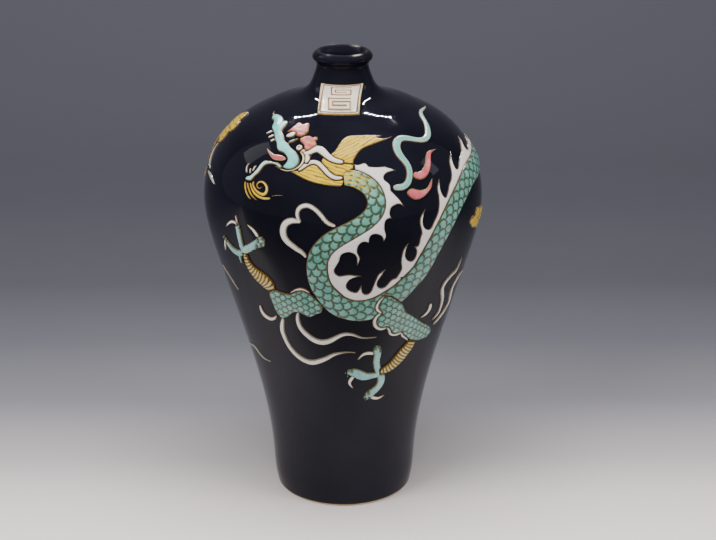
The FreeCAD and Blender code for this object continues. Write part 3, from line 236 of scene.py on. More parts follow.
def settled(mesh, turn, level, depth, pattern, isTop, plan, kin=()):
    # Crowned towards its middle, and sunk where an earlier enamel covers it
    middle = np.stack(millimetresPer(level), 1).mean(0)
    places = np.stack([turn, level], 1) * middle
    clear = np.full(len(turn), laying["far"])
    for ring in laidRings:
        flatRing = ring * middle
        low, high = flatRing.min(0) - laying["near"], flatRing.max(0) + laying["near"]
        near = ((places > low) & (places < high)).all(1)
        if near.any():
            clear[near] = np.minimum(clear[near], -depthInside(places[near], flatRing))
    for ring in kin:
        depth = np.maximum(depth, depthInside(places, ring * middle))
    merged = plan.get("merged", False)
    width = min(plan.get("crown", laying["crown"]), max(depth.max(), 0.2))
    part = np.clip(depth / width, 0, 1)
    height = plan["relief"] * (laying["rim"] + (1 - laying["rim"]) * np.sqrt(1 - (1 - part) ** 2))
    height += plan.get("swell", 0) * np.clip((depth - width) / max(depth.max() - width, 0.01), 0, 1) ** 0.7
    margin = laying["margin"]
    free = clear + margin * merged
    height = np.where(free < margin, height * np.clip(free / margin, 0, 1) - laying["sunk"] * (free < 0), height)
    height = np.where(isTop, height, laying["underside"])
    mesh.vertices.foreach_set("co", onVase(turn, level, height).astype(np.float32).ravel())
    lined = depth if merged else np.minimum(depth, np.maximum(clear, 0))
    edge = mesh.attributes.new("edge", "FLOAT", "POINT")
    edge.data.foreach_set("value", np.where(isTop, lined, 0).astype(np.float32))
    corners = np.empty(len(mesh.loops), np.int32)
    mesh.loops.foreach_get("vertex_index", corners)
    mesh.uv_layers.new(name="UVMap").data.foreach_set("uv", pattern[corners].astype(np.float32).ravel())
    return mesh


def sheetForm(ring, plan):
    # A form from a closed line, cut into small cells so that it can follow the glaze
    scale = np.array(millimetresPer(ring[:, 1].mean()))
    origin = ring.mean(0)
    flatRing = (ring - origin) * scale
    sheet = bmesh.new()
    sheet.faces.new([sheet.verts.new((x, y, 0)) for x, y in flatRing])
    for axis, normal in enumerate(((1, 0, 0), (0, 1, 0))):
        for cut in np.arange(flatRing[:, axis].min() + formPitch / 2, flatRing[:, axis].max(), formPitch):
            bmesh.ops.bisect_plane(sheet, geom=sheet.verts[:] + sheet.edges[:] + sheet.faces[:], dist=0.0001,
                                   plane_co=[part * cut for part in normal], plane_no=normal)
    bmesh.ops.triangulate(sheet, faces=sheet.faces)
    mesh, flat = raised(sheet)
    openEnds = [(np.array(pair) - origin) * scale for pair in plan.get("open", [])]
    depth = np.maximum(depthInside(flat[:, :2], flatRing, openEnds), 0)
    turn, level = (flat[:, :2] / scale + origin).T
    return settled(mesh, turn, level, depth, flat[:, :2], flat[:, 2] > 0.5, plan)


def strokeForm(path, plan, kin, pitch=formPitch):
    # A form along a stroke, with round ends unless the stroke is cut square
    total = path[-1, 5] - path[0, 5]
    cells = [max(6, round(size / pitch)) for size in (total, path[:, 2].max())]
    sheet = bmesh.new()
    bmesh.ops.create_grid(sheet, x_segments=cells[0], y_segments=cells[1], size=1)
    mesh, flat = raised(sheet)
    done = (flat[:, 0] + 1) / 2 * total
    place = done + path[0, 5]
    turn, level, width, stepRound, stepUp = (np.interp(place, path[:, 5], path[:, row]) for row in range(5))
    half = width / 2
    if not plan.get("square"):
        end = np.clip(np.minimum(done, total - done) / half, 0, 1)
        half = half * np.sqrt(1 - (1 - end) ** 2)
    rates = np.stack(millimetresPer(level), 1)
    offset = flat[:, 1] * half
    turn, level = turn - stepUp * offset / rates[:, 0], level + stepRound * offset / rates[:, 1]
    depth = half * (1 - np.abs(flat[:, 1]))
    return settled(mesh, turn, level, depth, np.stack([place, offset], 1), flat[:, 2] > 0.5, plan, kin)


def made(name, work, material):
    # A smooth object with one material from a finished bmesh
    mesh = bpy.data.meshes.new(name)
    work.to_mesh(mesh)
    work.free()
    mesh.shade_smooth()
    mesh.materials.append(material)
    piece = bpy.data.objects.new(name, mesh)
    bpy.context.collection.objects.link(piece)
    return piece


def placed(piece, node):
    # The piece rides on the vase in place of its node
    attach(piece, "root")
    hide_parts(node)


# Materials
class Value:
    # What a shader node gives; arithmetic on it adds the nodes for it
    def __init__(self, tree, socket):
        self.tree, self.socket = tree, socket

    def maths(self, operation, *terms):
        return addNode(self.tree, "Math", {"operation": operation},
                       **{"in%d" % place: term for place, term in enumerate(terms or [self])})

    def __add__(self, other):
        return self.maths("ADD", self, other)

    def __sub__(self, other):
        return self.maths("SUBTRACT", self, other)

    def __rsub__(self, other):
        return self.maths("SUBTRACT", other, self)

    def __mul__(self, other):
        return self.maths("MULTIPLY", self, other)

    def __truediv__(self, other):
        return self.maths("DIVIDE", self, other)

    def __mod__(self, other):
        return self.maths("MODULO", self, other)

    def __abs__(self):
        return self.maths("ABSOLUTE")


def addNode(tree, kind, settings=None, gives=0, **links):
    # A node with its settings; each link is a socket's name or number, and a value or what a node gives
    node = tree.nodes.new("ShaderNode" + kind)
    for key, value in (settings or {}).items():
        setattr(node, key, value)
    for key, value in links.items():
        socket = node.inputs[int(key[2:])] if key[2:].isdigit() else node.inputs[key.replace("_", " ")]
        if isinstance(value, Value):
            tree.links.new(value.socket, socket)
        else:
            socket.default_value = value
    return node if gives is None else Value(tree, node.outputs[gives])


def ranged(value, low, high, start=0.0, end=1.0, kind="SMOOTHSTEP"):
    return addNode(value.tree, "MapRange", {"interpolation_type": kind}, Value=value, From_Min=low, From_Max=high,
                   To_Min=start, To_Max=end)


def blended(share, first, second):
    # Two colours, each a code or what a node gives, blended by a share
    first, second = (colour(item) if isinstance(item, str) else item for item in (first, second))
    return addNode(share.tree, "Mix", {"data_type": "RGBA"}, 2, in0=share, in6=first, in7=second)


def noise(place, scale, detail=3.0):
    return addNode(place.tree, "TexNoise", Vector=place, Scale=scale, Detail=detail, Roughness=0.55)


def mottled(place, scale, start=0.0, end=1.0, detail=3.0):
    # Soft patches of two values
    return ranged(noise(place, scale, detail), 0.3, 0.7, start, end)


def cellDistance(place, scale):
    return addNode(place.tree, "TexVoronoi", gives="Distance", Vector=place, Scale=scale)


def bumped(height, strength, distance):
    return addNode(height.tree, "Bump", Strength=strength, Distance=distance, Height=height)


def newMaterial(name):
    material = bpy.data.materials.new(name)
    material.use_nodes = True
    tree = material.node_tree
    tree.nodes.clear()
    return material, tree, addNode(tree, "TexCoord", gives="Object")


def surfaced(tree, **looks):
    addNode(tree, "OutputMaterial", gives=None, Surface=addNode(tree, "BsdfPrincipled", **looks))


def lineAndRise(part, plan):
    # The line between two stripes, and the rise towards the middle of each, which also sets painted shade across each
    # stripe
    gap = (0.5 - abs(part - 0.5)) * plan["pitch"]
    return ranged(gap, plan["line"] * 0.2, plan["line"] * 0.8), ranged(gap, 0.0, plan["pitch"] * 0.5)


def scalePattern(along, across, plan):
    # Overlapping round scales, each from 0 at its root to 1; this share also sets painted shade across each scale
    row = along / plan["pitch"]
    rowPart = row.maths("FRACT")
    column = across / plan["width"] + row.maths("FLOOR") % 2.0 * 0.5
    spread = ((column + 100.5).maths("FRACT") - 0.5) * 2.0
    reach = (rowPart * rowPart + spread * spread).maths("SQRT")
    gap = abs(reach - 1.0) * (plan["pitch"] * 0.8)
    return ranged(gap, plan["line"] * 0.25, plan["line"] * 0.75), (reach + 0.001).maths("FRACT")


def strandPattern(along, across, plan):
    # Thin brush lines that run along the piece and wander a little
    turned = math.radians(plan.get("angle", 0))
    forward = along * math.cos(turned) + across * math.sin(turned)
    sideways = across * math.cos(turned) - along * math.sin(turned)
    place = addNode(along.tree, "CombineXYZ", X=forward * 0.09, Y=sideways * 0.22)
    bent = sideways + (noise(place, 1.0, 2.0) - 0.5) * plan["wander"]
    return lineAndRise((bent / plan["pitch"] + 100.0).maths("FRACT"), plan)


def stripePattern(along, across, plan):
    # Strokes across the piece, bowed at the middle
    return lineAndRise(((along + across * across * plan["bow"] + 100.0) / plan["pitch"]).maths("FRACT"), plan)


patterns = {"scales": scalePattern, "strands": strandPattern, "stripes": stripePattern}


def enamelMaterial(name, look):
    # Lead-glazed enamel trailed inside a line of brown slip: it pools darker along the line, breaks
    # lighter over the crown, and its gloss is broken by fine ripples and pinholes
    look = {"pool": 1.6, "pooling": 0.45, "line": 0.75, "slipDark": "#4a3420", **look}
    material, tree, place = newMaterial(name)
    flat = addNode(tree, "UVMap", {"uv_map": "UVMap"})
    along, across = (addNode(tree, "SeparateXYZ", gives=row, Vector=flat) for row in (0, 1))
    edge = addNode(tree, "Attribute", {"attribute_name": "edge"}, "Fac")
    body = blended(ranged(noise(place, 90.0, 4.0), 0.35, 0.65), look["colour"], look["second"])
    body = blended(ranged(edge, look["pool"], 0.5) * look["pooling"], body, look["deep"])
    rise = noise(place, 420.0, 2.0) * 0.35
    if "pattern" in look:
        pattern = look["pattern"]
        clear, formShade = patterns[pattern["kind"]](along, across, pattern)
        # Painted shade: each scale or strand turns towards the deep colour across its form, by the pattern's share of
        # painted shade
        body = blended(formShade * pattern["fade"], body, look["deep"])
        body = blended(clear, pattern.get("colour", look["slip"]), body)
        rise = rise + clear * 0.8
    if "streaks" in look:
        streaks = look["streaks"]
        clear = strandPattern(along, across, streaks)[0]
        body = blended((1.0 - clear) * ranged(along, streaks["reach"], 0.0), body, streaks["colour"])
    wobble = (noise(place, 300.0, 2.0) - 0.5) * 0.5
    border = ranged(edge + wobble, look["line"] - 0.25, look["line"] + 0.25)
    body = blended(border, blended(noise(place, 700.0, 2.0), look["slip"], look["slipDark"]), body)
    surfaced(tree, Base_Color=body, Roughness=mottled(place, 500.0, 0.2, 0.36),
             Normal=bumped(rise + noise(place, 2600.0, 2.0) * 0.04, 0.6, 0.0004),
             Coat_Weight=0.35, Coat_Roughness=0.08)
    return material


def lay(node, plan):
    # One enamel: its forms, its material, and the CAD node it stands for
    unit = plan.get("unit", strokeUnit)
    paths = plan.get("paths", []) + [strokePath(route, unit) for route in plan.get("strokes", [])]
    sheets = [outlineRing(outline) for outline in plan.get("outlines", [])] + plan.get("rings", [])
    rings = sheets + [strokeRing(path) for path in paths]
    forms = []
    for turn, level in plan.get("beads", []):
        route = [(turn + way * knuckle["reach"], level, knuckle["width"]) for way in (-1, 1)]
        path = strokePath(route, strokeUnit, knuckle["linePitch"])
        forms.append(strokeForm(path, plan, [], knuckle["formPitch"]))
        laidRings.append(strokeRing(path))
    for place, ring in enumerate(rings):
        kin = rings[:place] + rings[place + 1:] if plan.get("joined") else []
        isSheet = place < len(sheets)
        forms.append(sheetForm(ring, plan) if isSheet else strokeForm(paths[place - len(sheets)], plan, kin))
        if plan.get("apart"):
            laidRings.append(ring)
    whole = bmesh.new()
    for mesh in forms:
        whole.from_mesh(mesh)
        bpy.data.meshes.remove(mesh)
    bmesh.ops.remove_doubles(whole, verts=whole.verts, dist=1e-6)
    material = enamelMaterial(node.replace("_", " ") + " in trailed enamel", plan["look"])
    piece = made("".join(part.title() for part in node.split("_")) + "Enamel", whole, material)
    (heldRings if plan.get("held") else laidRings).extend(rings)
    placed(piece, node)


# Clay: what the glaze leaves bare is unglazed stoneware, buff, gritty and a little iron-specked
def clayMaterial(name, base, dark):
    material, tree, place = newMaterial(name)
    body = blended(ranged(noise(place, 60.0, 5.0), 0.35, 0.7), base, dark)
    body = blended(ranged(cellDistance(place, 700.0), 0.08, 0.16), "#5a4330", body)
    rings = addNode(tree, "TexWave", {"bands_direction": "Z"}, "Fac", Vector=place, Scale=160.0, Distortion=1.5,
                    Detail=2.0)
    surfaced(tree, Base_Color=body, Normal=bumped(noise(place, 3200.0) + rings * 0.4, 0.7, 0.0002),
             Roughness=mottled(place, 900.0, 0.72, 0.92))
    return material


stoneware = clayMaterial("wheel-thrown stoneware", "#b9a07f", "#a2886a")
slipClay = clayMaterial("dried joining slip", "#a58c6d", "#8d7457")
clays = {"lower_body": stoneware, "upper_body": stoneware, "neck": stoneware, "waist_luting": slipClay,
         "neck_luting": slipClay}
for name, material in clays.items():
    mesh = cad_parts[name].data
    mesh.materials.clear()
    mesh.materials.append(material)


# Glaze: near-black, blue in the light; poured, so it is glassy, a little rippled, and thins to a
# brown edge where it was wiped back above the foot and where it pulls off the lip
def glazeMaterial():
    material, tree, place = newMaterial("poured black glaze")
    rise = addNode(tree, "SeparateXYZ", gives=2, Vector=place)
    body = blended(mottled(place, 14.0, detail=4.0), "#111119", "#171721")
    body = blended(ranged(rise + noise(place, 40.0) * 0.002, 0.0018, 0.0045), "#2c2018", body)
    body = blended(ranged(rise, 0.3985, 0.4002) * 0.3, body, "#3d3430")
    ripple = noise(place, 70.0, 2.0) * 0.8 + ranged(cellDistance(place, 420.0), 0.03, 0.1) * 0.05
    surfaced(tree, Base_Color=body, Roughness=mottled(place, 55.0, 0.02, 0.045, 4.0),
             Normal=bumped(ripple, 0.22, 0.0004), Specular_IOR_Level=0.14)
    return material


def glazeCoat():
    # The profile and a copy of it set inwards, joined at both ends and spun round
    start = int(np.searchsorted(profileLine[outside, 1], profile["glazeStop"]))
    outer = profileLine[start:]
    inner = outer - profileNormal[start:] * profile["glazeThickness"]
    skin = bmesh.new()
    verts = [skin.verts.new((radius * metre, 0, rise * metre)) for radius, rise in np.vstack([outer, inner[::-1]])]
    edges = [skin.edges.new(pair) for pair in zip(verts, verts[1:] + verts[:1])]
    bmesh.ops.spin(skin, geom=verts + edges, cent=(0, 0, 0), axis=(0, 0, 1), dvec=(0, 0, 0), angle=2 * math.pi,
                   steps=profile["steps"], use_merge=True, use_duplicate=False)
    bmesh.ops.remove_doubles(skin, verts=skin.verts, dist=1e-6)
    bmesh.ops.recalc_face_normals(skin, faces=skin.faces)
    placed(made("glazeCoat", skin, glazeMaterial()), "glaze_coat")


glazeCoat()
print("glaze done")

# Eye: a bead of white with a dark pupil in a brown ring
eye = {"turn": -22.3, "level": 84.65, "radius": 3.0, "flat": 0.62, "pupil": (0.75, 1.0), "rim": (2.1, 2.4)}


def eyeMaterial():
    material, tree, place = newMaterial("white bead with a painted pupil")
    edge = addNode(tree, "Attribute", {"attribute_name": "edge"}, "Fac")
    body = blended(ranged(edge, *eye["pupil"]), "#17120f", "#efe9de")
    surfaced(tree, Base_Color=blended(ranged(edge, *eye["rim"]), body, "#7a5636"), Roughness=0.12, Coat_Weight=0.5)
    return material


def eyeBead():
    bead = bmesh.new()
    bmesh.ops.create_uvsphere(bead, u_segments=32, v_segments=20, radius=eye["radius"])
    bmesh.ops.scale(bead, vec=(1, 1, eye["flat"]), verts=bead.verts)
    edges = bead.verts.layers.float.new("edge")
    point = onVase(eye["turn"], eye["level"], 0.3)
    outward = onVase(eye["turn"], eye["level"], 1.3) - point
    outward /= np.linalg.norm(outward)
    side = np.cross((0, 0, 1), outward)
    side /= np.linalg.norm(side)
    for vert in bead.verts:
        x, y, z = vert.co
        vert[edges] = math.hypot(x, y) if z > 0 else eye["radius"]
        vert.co = point + (side * x + np.cross(outward, side) * y + outward * z) * metre
    placed(made("eyeEnamel", bead, eyeMaterial()), "eye")
    turns = np.linspace(0, 2 * math.pi, 24, endpoint=False)
    around, upward = millimetresPer(eye["level"])
    laidRings.append(np.stack([eye["turn"] + np.cos(turns) * eye["radius"] / around,
                               eye["level"] + np.sin(turns) * eye["radius"] / upward], 1))


eyeBead()

# Colours of the enamels. Each goes from its colour to its second one in soft clouds, and to the deep
# one where it pools and where the patterns paint shade across each scale or strand
slipBrown = "#8a6a45"
turquoise = {"colour": "#6cc6c0", "second": "#8fd9d2", "deep": "#3f9a94", "slip": slipBrown, "pool": 2.0}
green = {"colour": "#60a796", "second": "#80beb0", "deep": "#357563", "slip": "#6a5a38", "pool": 2.2}
white = {"colour": "#f2ebe0", "second": "#e2dbd1", "deep": "#b3a797", "slip": slipBrown, "pool": 1.4}
yellow = {"colour": "#deb80c", "second": "#eccb2c", "deep": "#b98a1c", "slip": slipBrown, "pool": 1.5}
pink = {"colour": "#cc4f5c", "second": "#dc757c", "deep": "#a03645", "slip": "#a98a52"}
brown = {"colour": "#9a7138", "second": "#ab8145", "deep": "#7d5a2c", "slip": "#7d5a2c", "pool": 0.8, "line": 0.2}
thinWhite = {**white, "line": 0.6}
tooth = {"relief": 1.5, "crown": 0.6, "look": {**white, "line": 0.25, "pool": 0.6}}

# Head
lay("snout", {
    "relief": 1.9, "swell": 0.4, "crown": 2.0, "look": {**turquoise, "pooling": 0.6},
    "outlines": [[(-56, 88.3), (-52.3, 88.5), (-46.5, 88.3), (-43, 87.9, 1), (-40, 88), (-38, 87.4), (-38, 86.9),
        (-36.4, 86.4), (-34, 86), (-32, 85.4), (-29, 85.1, 1), (-27.2, 84.6), (-24, 84.1), (-21.6, 83.5),
        (-20.3, 82.8), (-20.2, 82.1), (-21.2, 81.5), (-23.2, 81.05), (-25.8, 81), (-27.6, 81.3, 1), (-26.2, 82.5),
        (-27.5, 83.1), (-29.8, 83.55), (-32.4, 83.7), (-34.3, 84.1), (-35.8, 84.7), (-38.2, 85.25), (-40.5, 85.8),
        (-43.2, 86.3), (-46.4, 86.7), (-48.3, 87.2), (-51, 87.6), (-55, 87.8)],
                 [(-29.8, 85.1, 1), (-27.8, 85.2), (-25.6, 85.7), (-24.9, 86, 1), (-27, 85.8), (-29, 85.5)]],
})
lay("tongue", {
    "relief": 1.2, "outlines": [[(-40, 83.8, 1), (-37, 83.4), (-34.4, 83.15), (-31, 83.15), (-28.6, 83),
        (-27.4, 82.7), (-28.2, 82.4), (-31, 82.25), (-33.5, 82.3), (-35.4, 82.6), (-37.2, 83)]],
    "look": {**pink, "colour": "#c9505a", "second": "#da7178", "slip": "#ddcb94", "slipDark": "#b0904e", "line": 0.6},
})
lay("lower_jaw", {
    "relief": 1.6, "outlines": [[(-27.8, 81.35, 1), (-29.5, 81.75), (-31.4, 81.9), (-33.4, 81.85), (-36.6, 81.9),
        (-38.2, 81.6), (-39.2, 81), (-39.9, 80.2), (-40.9, 79.5), (-42.2, 78.8), (-44.2, 78.3), (-44.2, 77.85),
        (-42.4, 77.75), (-40.8, 77.95), (-39.6, 78.8), (-38.5, 79.3), (-37.4, 80.3), (-36.2, 81.05),
        (-34.2, 81.35), (-32.4, 81.45), (-30.6, 81.3), (-28.4, 80.95)]],
    "look": {**turquoise, "colour": "#a6ddd6", "second": "#c4e8e1", "deep": "#6fb5ae"},
})
lay("brow", {"relief": 2.2, "crown": 2.6, "strokes": [[(-32.6, 85.95, 0.2), (-31, 86.2, 0.5),
    (-29.2, 86.5, 0.5), (-28.3, 86.7, 0.2)]], "look": thinWhite})
lay("upper_teeth", {**tooth, "strokes": [[(-46.5, 85.75, 0.1), (-45.2, 86.1, 0.2),
    (-43.9, 86.4, 0.14)], [(-43.4, 85.3, 0.1), (-42.2, 85.55, 0.22), (-41, 85.9, 0.16)], [(-40.2, 84.85, 0.1),
    (-39.4, 85.1, 0.22), (-38.4, 85.4, 0.16)]]})
lay("lower_teeth", {**tooth, "strokes": [[(-45.4, 80.7, 0.06), (-45.9, 80.2, 0.12),
    (-45.6, 79.6, 0.14), (-44.6, 79, 0.1)], [(-43.6, 80, 0.12), (-43.1, 79.5, 0.14), (-42.6, 79, 0.1)],
    [(-41.2, 80.6, 0.12), (-41.6, 80.1, 0.16), (-41.7, 79.5, 0.12)]]})
lay("cheek_rim", {
    "relief": 1.2, "strokes": [[(-21.4, 84.1, 0.1), (-19.3, 83.55, 0.18), (-18.5, 82.95, 0.22),
        (-18.7, 82.3, 0.22), (-19.4, 81.8, 0.2), (-21.2, 81.2, 0.16), (-23.4, 80.85, 0.14), (-26.2, 80.75, 0.12),
        (-29, 81, 0.1), (-31.4, 81.3, 0.08)]],
    "look": {**yellow, "colour": "#e6dfae", "second": "#efe9c8", "deep": "#b8b070", "line": 0.4, "pool": 0.9},
})
crestLine = {"kind": "strands", "pitch": 4.6, "line": 0.9, "angle": -4, "wander": 3.0, "fade": 0.3,
             "colour": "#c79a4e"}
lay("crest_upper", {
    "relief": 1.7, "outlines": [[(-34.4, 86.7, 1), (-33.1, 87.2), (-32.2, 87.7), (-31.2, 88.05), (-29.5, 88.1),
        (-27.2, 87.9, 1), (-25.6, 88.1), (-24.1, 88.2), (-22.4, 87.95), (-22.4, 87.7, 1), (-21.4, 87.4),
        (-21.3, 87), (-22.2, 86.6), (-23.9, 86.35), (-26, 86.3), (-28.1, 86.5), (-30.6, 86.8), (-32.8, 86.75)]],
    "look": {**pink, "pattern": crestLine},
})
lay("crest_lower", {
    "relief": 1.7, "outlines": [[(-24, 85.95), (-22.7, 86.25), (-21.1, 86.45), (-18.8, 86.5), (-16.8, 86.3, 1),
        (-15.6, 86.45), (-14.3, 86.4), (-14, 86.1), (-15, 85.85, 1), (-13.8, 85.4), (-14.5, 85), (-16.4, 84.55),
        (-18.4, 84.3), (-19.7, 84.7), (-20.4, 85.1), (-22, 85.4)]],
    "look": {**pink, "pattern": {**crestLine, "pitch": 5.0, "angle": -20}},
})
lay("horn_upper", {
    "relief": 1.9, "crown": 2.4, "joined": True, "unit": hornUnit, "look": thinWhite,
    "strokes": [[(-19.6, 83.8, 0.2), (-16.9, 83.95, 0.3), (-15.1, 84.3, 0.38), (-13.6, 84.58, 0.46),
        (-11.7, 84.62, 0.5), (-9.8, 84.3, 0.48), (-7.8, 83.78, 0.42), (-5.7, 83.28, 0.37), (-3.9, 82.98, 0.33),
        (-2, 82.8, 0.3), (0.2, 82.7, 0.2)],
                [(-17.4, 83.7, 0.3), (-16.9, 83, 0.4), (-17, 82.3, 0.25)]],
})
lay("horn_lower", {
    "relief": 1.7, "crown": 2.0, "unit": hornUnit, "look": thinWhite,
    "strokes": [[(-19.7, 80.95, 0.16), (-18.2, 81.5, 0.24), (-17, 81.98, 0.28), (-15.5, 82.38, 0.3),
        (-13.9, 82.58, 0.3), (-12.3, 82.55, 0.3), (-10.9, 82.35, 0.3), (-9.5, 81.93, 0.3), (-7.9, 81.37, 0.3),
        (-6.4, 80.8, 0.3), (-4.9, 80.38, 0.3), (-3, 80.08, 0.28), (-0.1, 80.1, 0.2)]],
})
lay("face", {
    "relief": 1.3, "look": {**white, "colour": "#efe7d2", "line": 0.45},
    "outlines": [[(-21.4, 84.1, 1), (-20, 84.55), (-18, 84.8), (-16, 84.75), (-14.6, 84.3, 1), (-15.2, 83.7),
        (-15.8, 83.15), (-16.2, 82.6), (-17, 82.1), (-18.2, 81.6), (-20, 81.2), (-21.2, 81.2, 1), (-19.4, 81.8),
        (-18.7, 82.3), (-18.5, 82.95), (-19.3, 83.55)]],
})
lay("beard", {
    "relief": 1.0, "apart": True, "look": {**yellow, "line": 0.45, "pool": 1.0},
    "strokes": [[(-44.1, 77.4, 0.16), (-43.6, 76.8, 0.18), (-42.9, 76.1, 0.18), (-41.2, 75.1, 0.16),
        (-39.1, 74.4, 0.06)], [(-42.8, 77.4, 0.14), (-41.8, 76.7, 0.16), (-41, 76.2, 0.16), (-39.4, 75.4, 0.15),
        (-36.2, 74.5, 0.06)], [(-41.2, 77.5, 0.16), (-39.8, 76.6, 0.2), (-37.9, 75.8, 0.24), (-35.2, 75.3, 0.24),
        (-32.6, 75.2, 0.22), (-29.9, 75.4, 0.2)], [(-39.7, 77.9, 0.14), (-39.3, 77.1, 0.2), (-37.5, 76.4, 0.22),
        (-35.3, 75.95, 0.26), (-33, 76, 0.3), (-32.2, 76.7, 0.28), (-32.8, 77.5, 0.24), (-34.3, 78, 0.2),
        (-36.1, 78.1, 0.18), (-37.3, 77.7, 0.16), (-37.4, 77.25, 0.14), (-36.5, 76.9, 0.12), (-35.4, 76.95, 0.1),
        (-35, 77.3, 0.08)], [(-29.6, 75.85, 0.06), (-27.3, 76.15, 0.07), (-24.5, 76.3, 0.06)]]
               + [[(-57.2, 88.15, 0.1), (-59.6, 88.45, 0.08), (-62.4, 88.7, 0.06)]],
})
hairLine = {"kind": "strands", "pitch": 2.8, "line": 0.7, "angle": 30, "wander": 4.0, "fade": 0.2,
            "colour": "#9c7430"}
lay("mane_upper", {
    "relief": 1.3, "look": {**yellow, "pattern": hairLine},
    "outlines": [[(-6.2, 83.95, 1), (-4.2, 84.5), (-2.9, 85.1), (-1.6, 85.72), (0.2, 86.3), (3.1, 86.7),
        (6.2, 86.78), (10.6, 86.78), (16, 86.7), (22.6, 86.5, 1), (19.2, 86.28, 1), (23, 86.05), (28.4, 86.2, 1),
        (22.5, 85.75), (18.3, 85.52), (14.8, 85.25), (11, 84.93), (8, 84.35), (6.2, 83.65), (5.1, 83.02),
        (4.8, 82.45, 1), (2, 82.5), (-1, 82.7), (-4, 83.1)]],
})
lay("mane_middle", {
    "relief": 1.3, "open": [((4.7, 82.3), (0.4, 80.3))], "look": {**yellow, "pattern": {**hairLine, "angle": -20}},
    "outlines": [[(-9.4, 83.4, 1), (-7.4, 83.3), (-5.5, 83), (-3.5, 82.75), (-1, 82.6), (2.5, 82.5),
        (4.7, 82.3, 1), (4.6, 81.6, 1), (2.5, 81.3), (0.8, 80.9, 1), (0.4, 80.3, 1), (-1.5, 80.3), (-3.6, 80.4),
        (-5.2, 80.8), (-6.8, 81.4), (-8.3, 82), (-9.9, 82.7)]],
})
lay("mane_lower", {
    "relief": 1.3, "open": [((-1, 78.6), (0.2, 79.8))], "look": {**yellow, "pattern": {**hairLine, "angle": -14}},
    "outlines": [[(-23.6, 80.7, 1), (-21.4, 80.4), (-18.7, 79.98), (-15.5, 79.48), (-12.2, 79.12), (-8.8, 78.87),
        (-6.2, 78.73), (-3.8, 78.65), (-1, 78.6, 1), (-0.1, 79.2), (0.2, 79.8, 1), (-3, 79.85), (-5.2, 80.2),
        (-7, 80.7), (-8.7, 81.4), (-10.3, 82.1), (-12, 82.4), (-14, 82.35), (-15.8, 82.1), (-17.4, 81.6),
        (-18.8, 81.15), (-21, 80.95)]],
})
print("head done")

# Right foreleg's thigh and its edging, which lie over the trunk
lay("thigh_edging", {
    "relief": 1.9, "apart": True, "unit": ribbonUnit, "look": {**white, "line": 0.45},
    "strokes": [[(17.7, 54.9, 0.1), (16, 53.85, 0.2), (14.9, 52.75, 0.24), (15.1, 51.7, 0.24),
        (17.3, 50.6, 0.18)], [(17.3, 50.6, 0.18), (15.1, 49.75, 0.24), (14.5, 48.4, 0.28), (15.7, 47.15, 0.28),
        (18.4, 46.5, 0.24), (20.7, 46.75, 0.16)], [(20.7, 46.75, 0.16), (22.3, 46.05, 0.2), (23.3, 45, 0.22),
        (25.8, 44.45, 0.22), (28.4, 44.55, 0.2), (29.7, 44.7, 0.14)], [(29.7, 44.7, 0.14), (30.6, 43.8, 0.2),
        (33.2, 42.85, 0.18), (34.9, 42.1, 0.1)]],
})
scales = {"kind": "scales", "pitch": 4.8, "width": 6.2, "line": 1.5, "colour": "#47513a", "fade": 0.35}
thighLook = {**green, "pattern": scales}
lay("right_thigh", {
    "relief": 2.0, "crown": 2.2, "swell": 0.8, "look": thighLook,
    "outlines": [[(17.7, 54.8, 1), (16.2, 53.85), (15.1, 52.75), (15.3, 51.7), (17.5, 50.6, 1), (15.3, 49.75),
        (14.7, 48.4), (15.9, 47.2), (18.5, 46.6), (20.7, 46.85, 1), (22.5, 46.1), (23.5, 45.15), (25.8, 44.6),
        (28.4, 44.65), (29.7, 44.8, 1), (30.8, 43.9), (33.2, 43), (35, 42.3, 1), (38, 41.8), (41, 41.3),
        (45, 41.1), (49.6, 41.3), (51.4, 42.5), (48.2, 44.2), (42.8, 45.7), (37.8, 47.3), (33.2, 48.85),
        (29.8, 50.1), (27.6, 52, 1), (24, 53.4), (20.8, 54.5)]],
})
lay("hind_thighs", {"relief": 2.0, "crown": 2.4, "strokes": [[(121, 58.5, 0.9), (116, 57.3, 1.4),
    (110, 55.2, 1.6), (105, 52.6, 1.5), (102, 50, 1.1), (101.4, 48.6, 0.7)], [(171, 55.5, 0.8), (177, 56, 1.3),
    (184, 55.3, 1.5), (190, 53.2, 1.4), (194, 50.6, 1), (195, 49, 0.65)]], "look": thighLook})

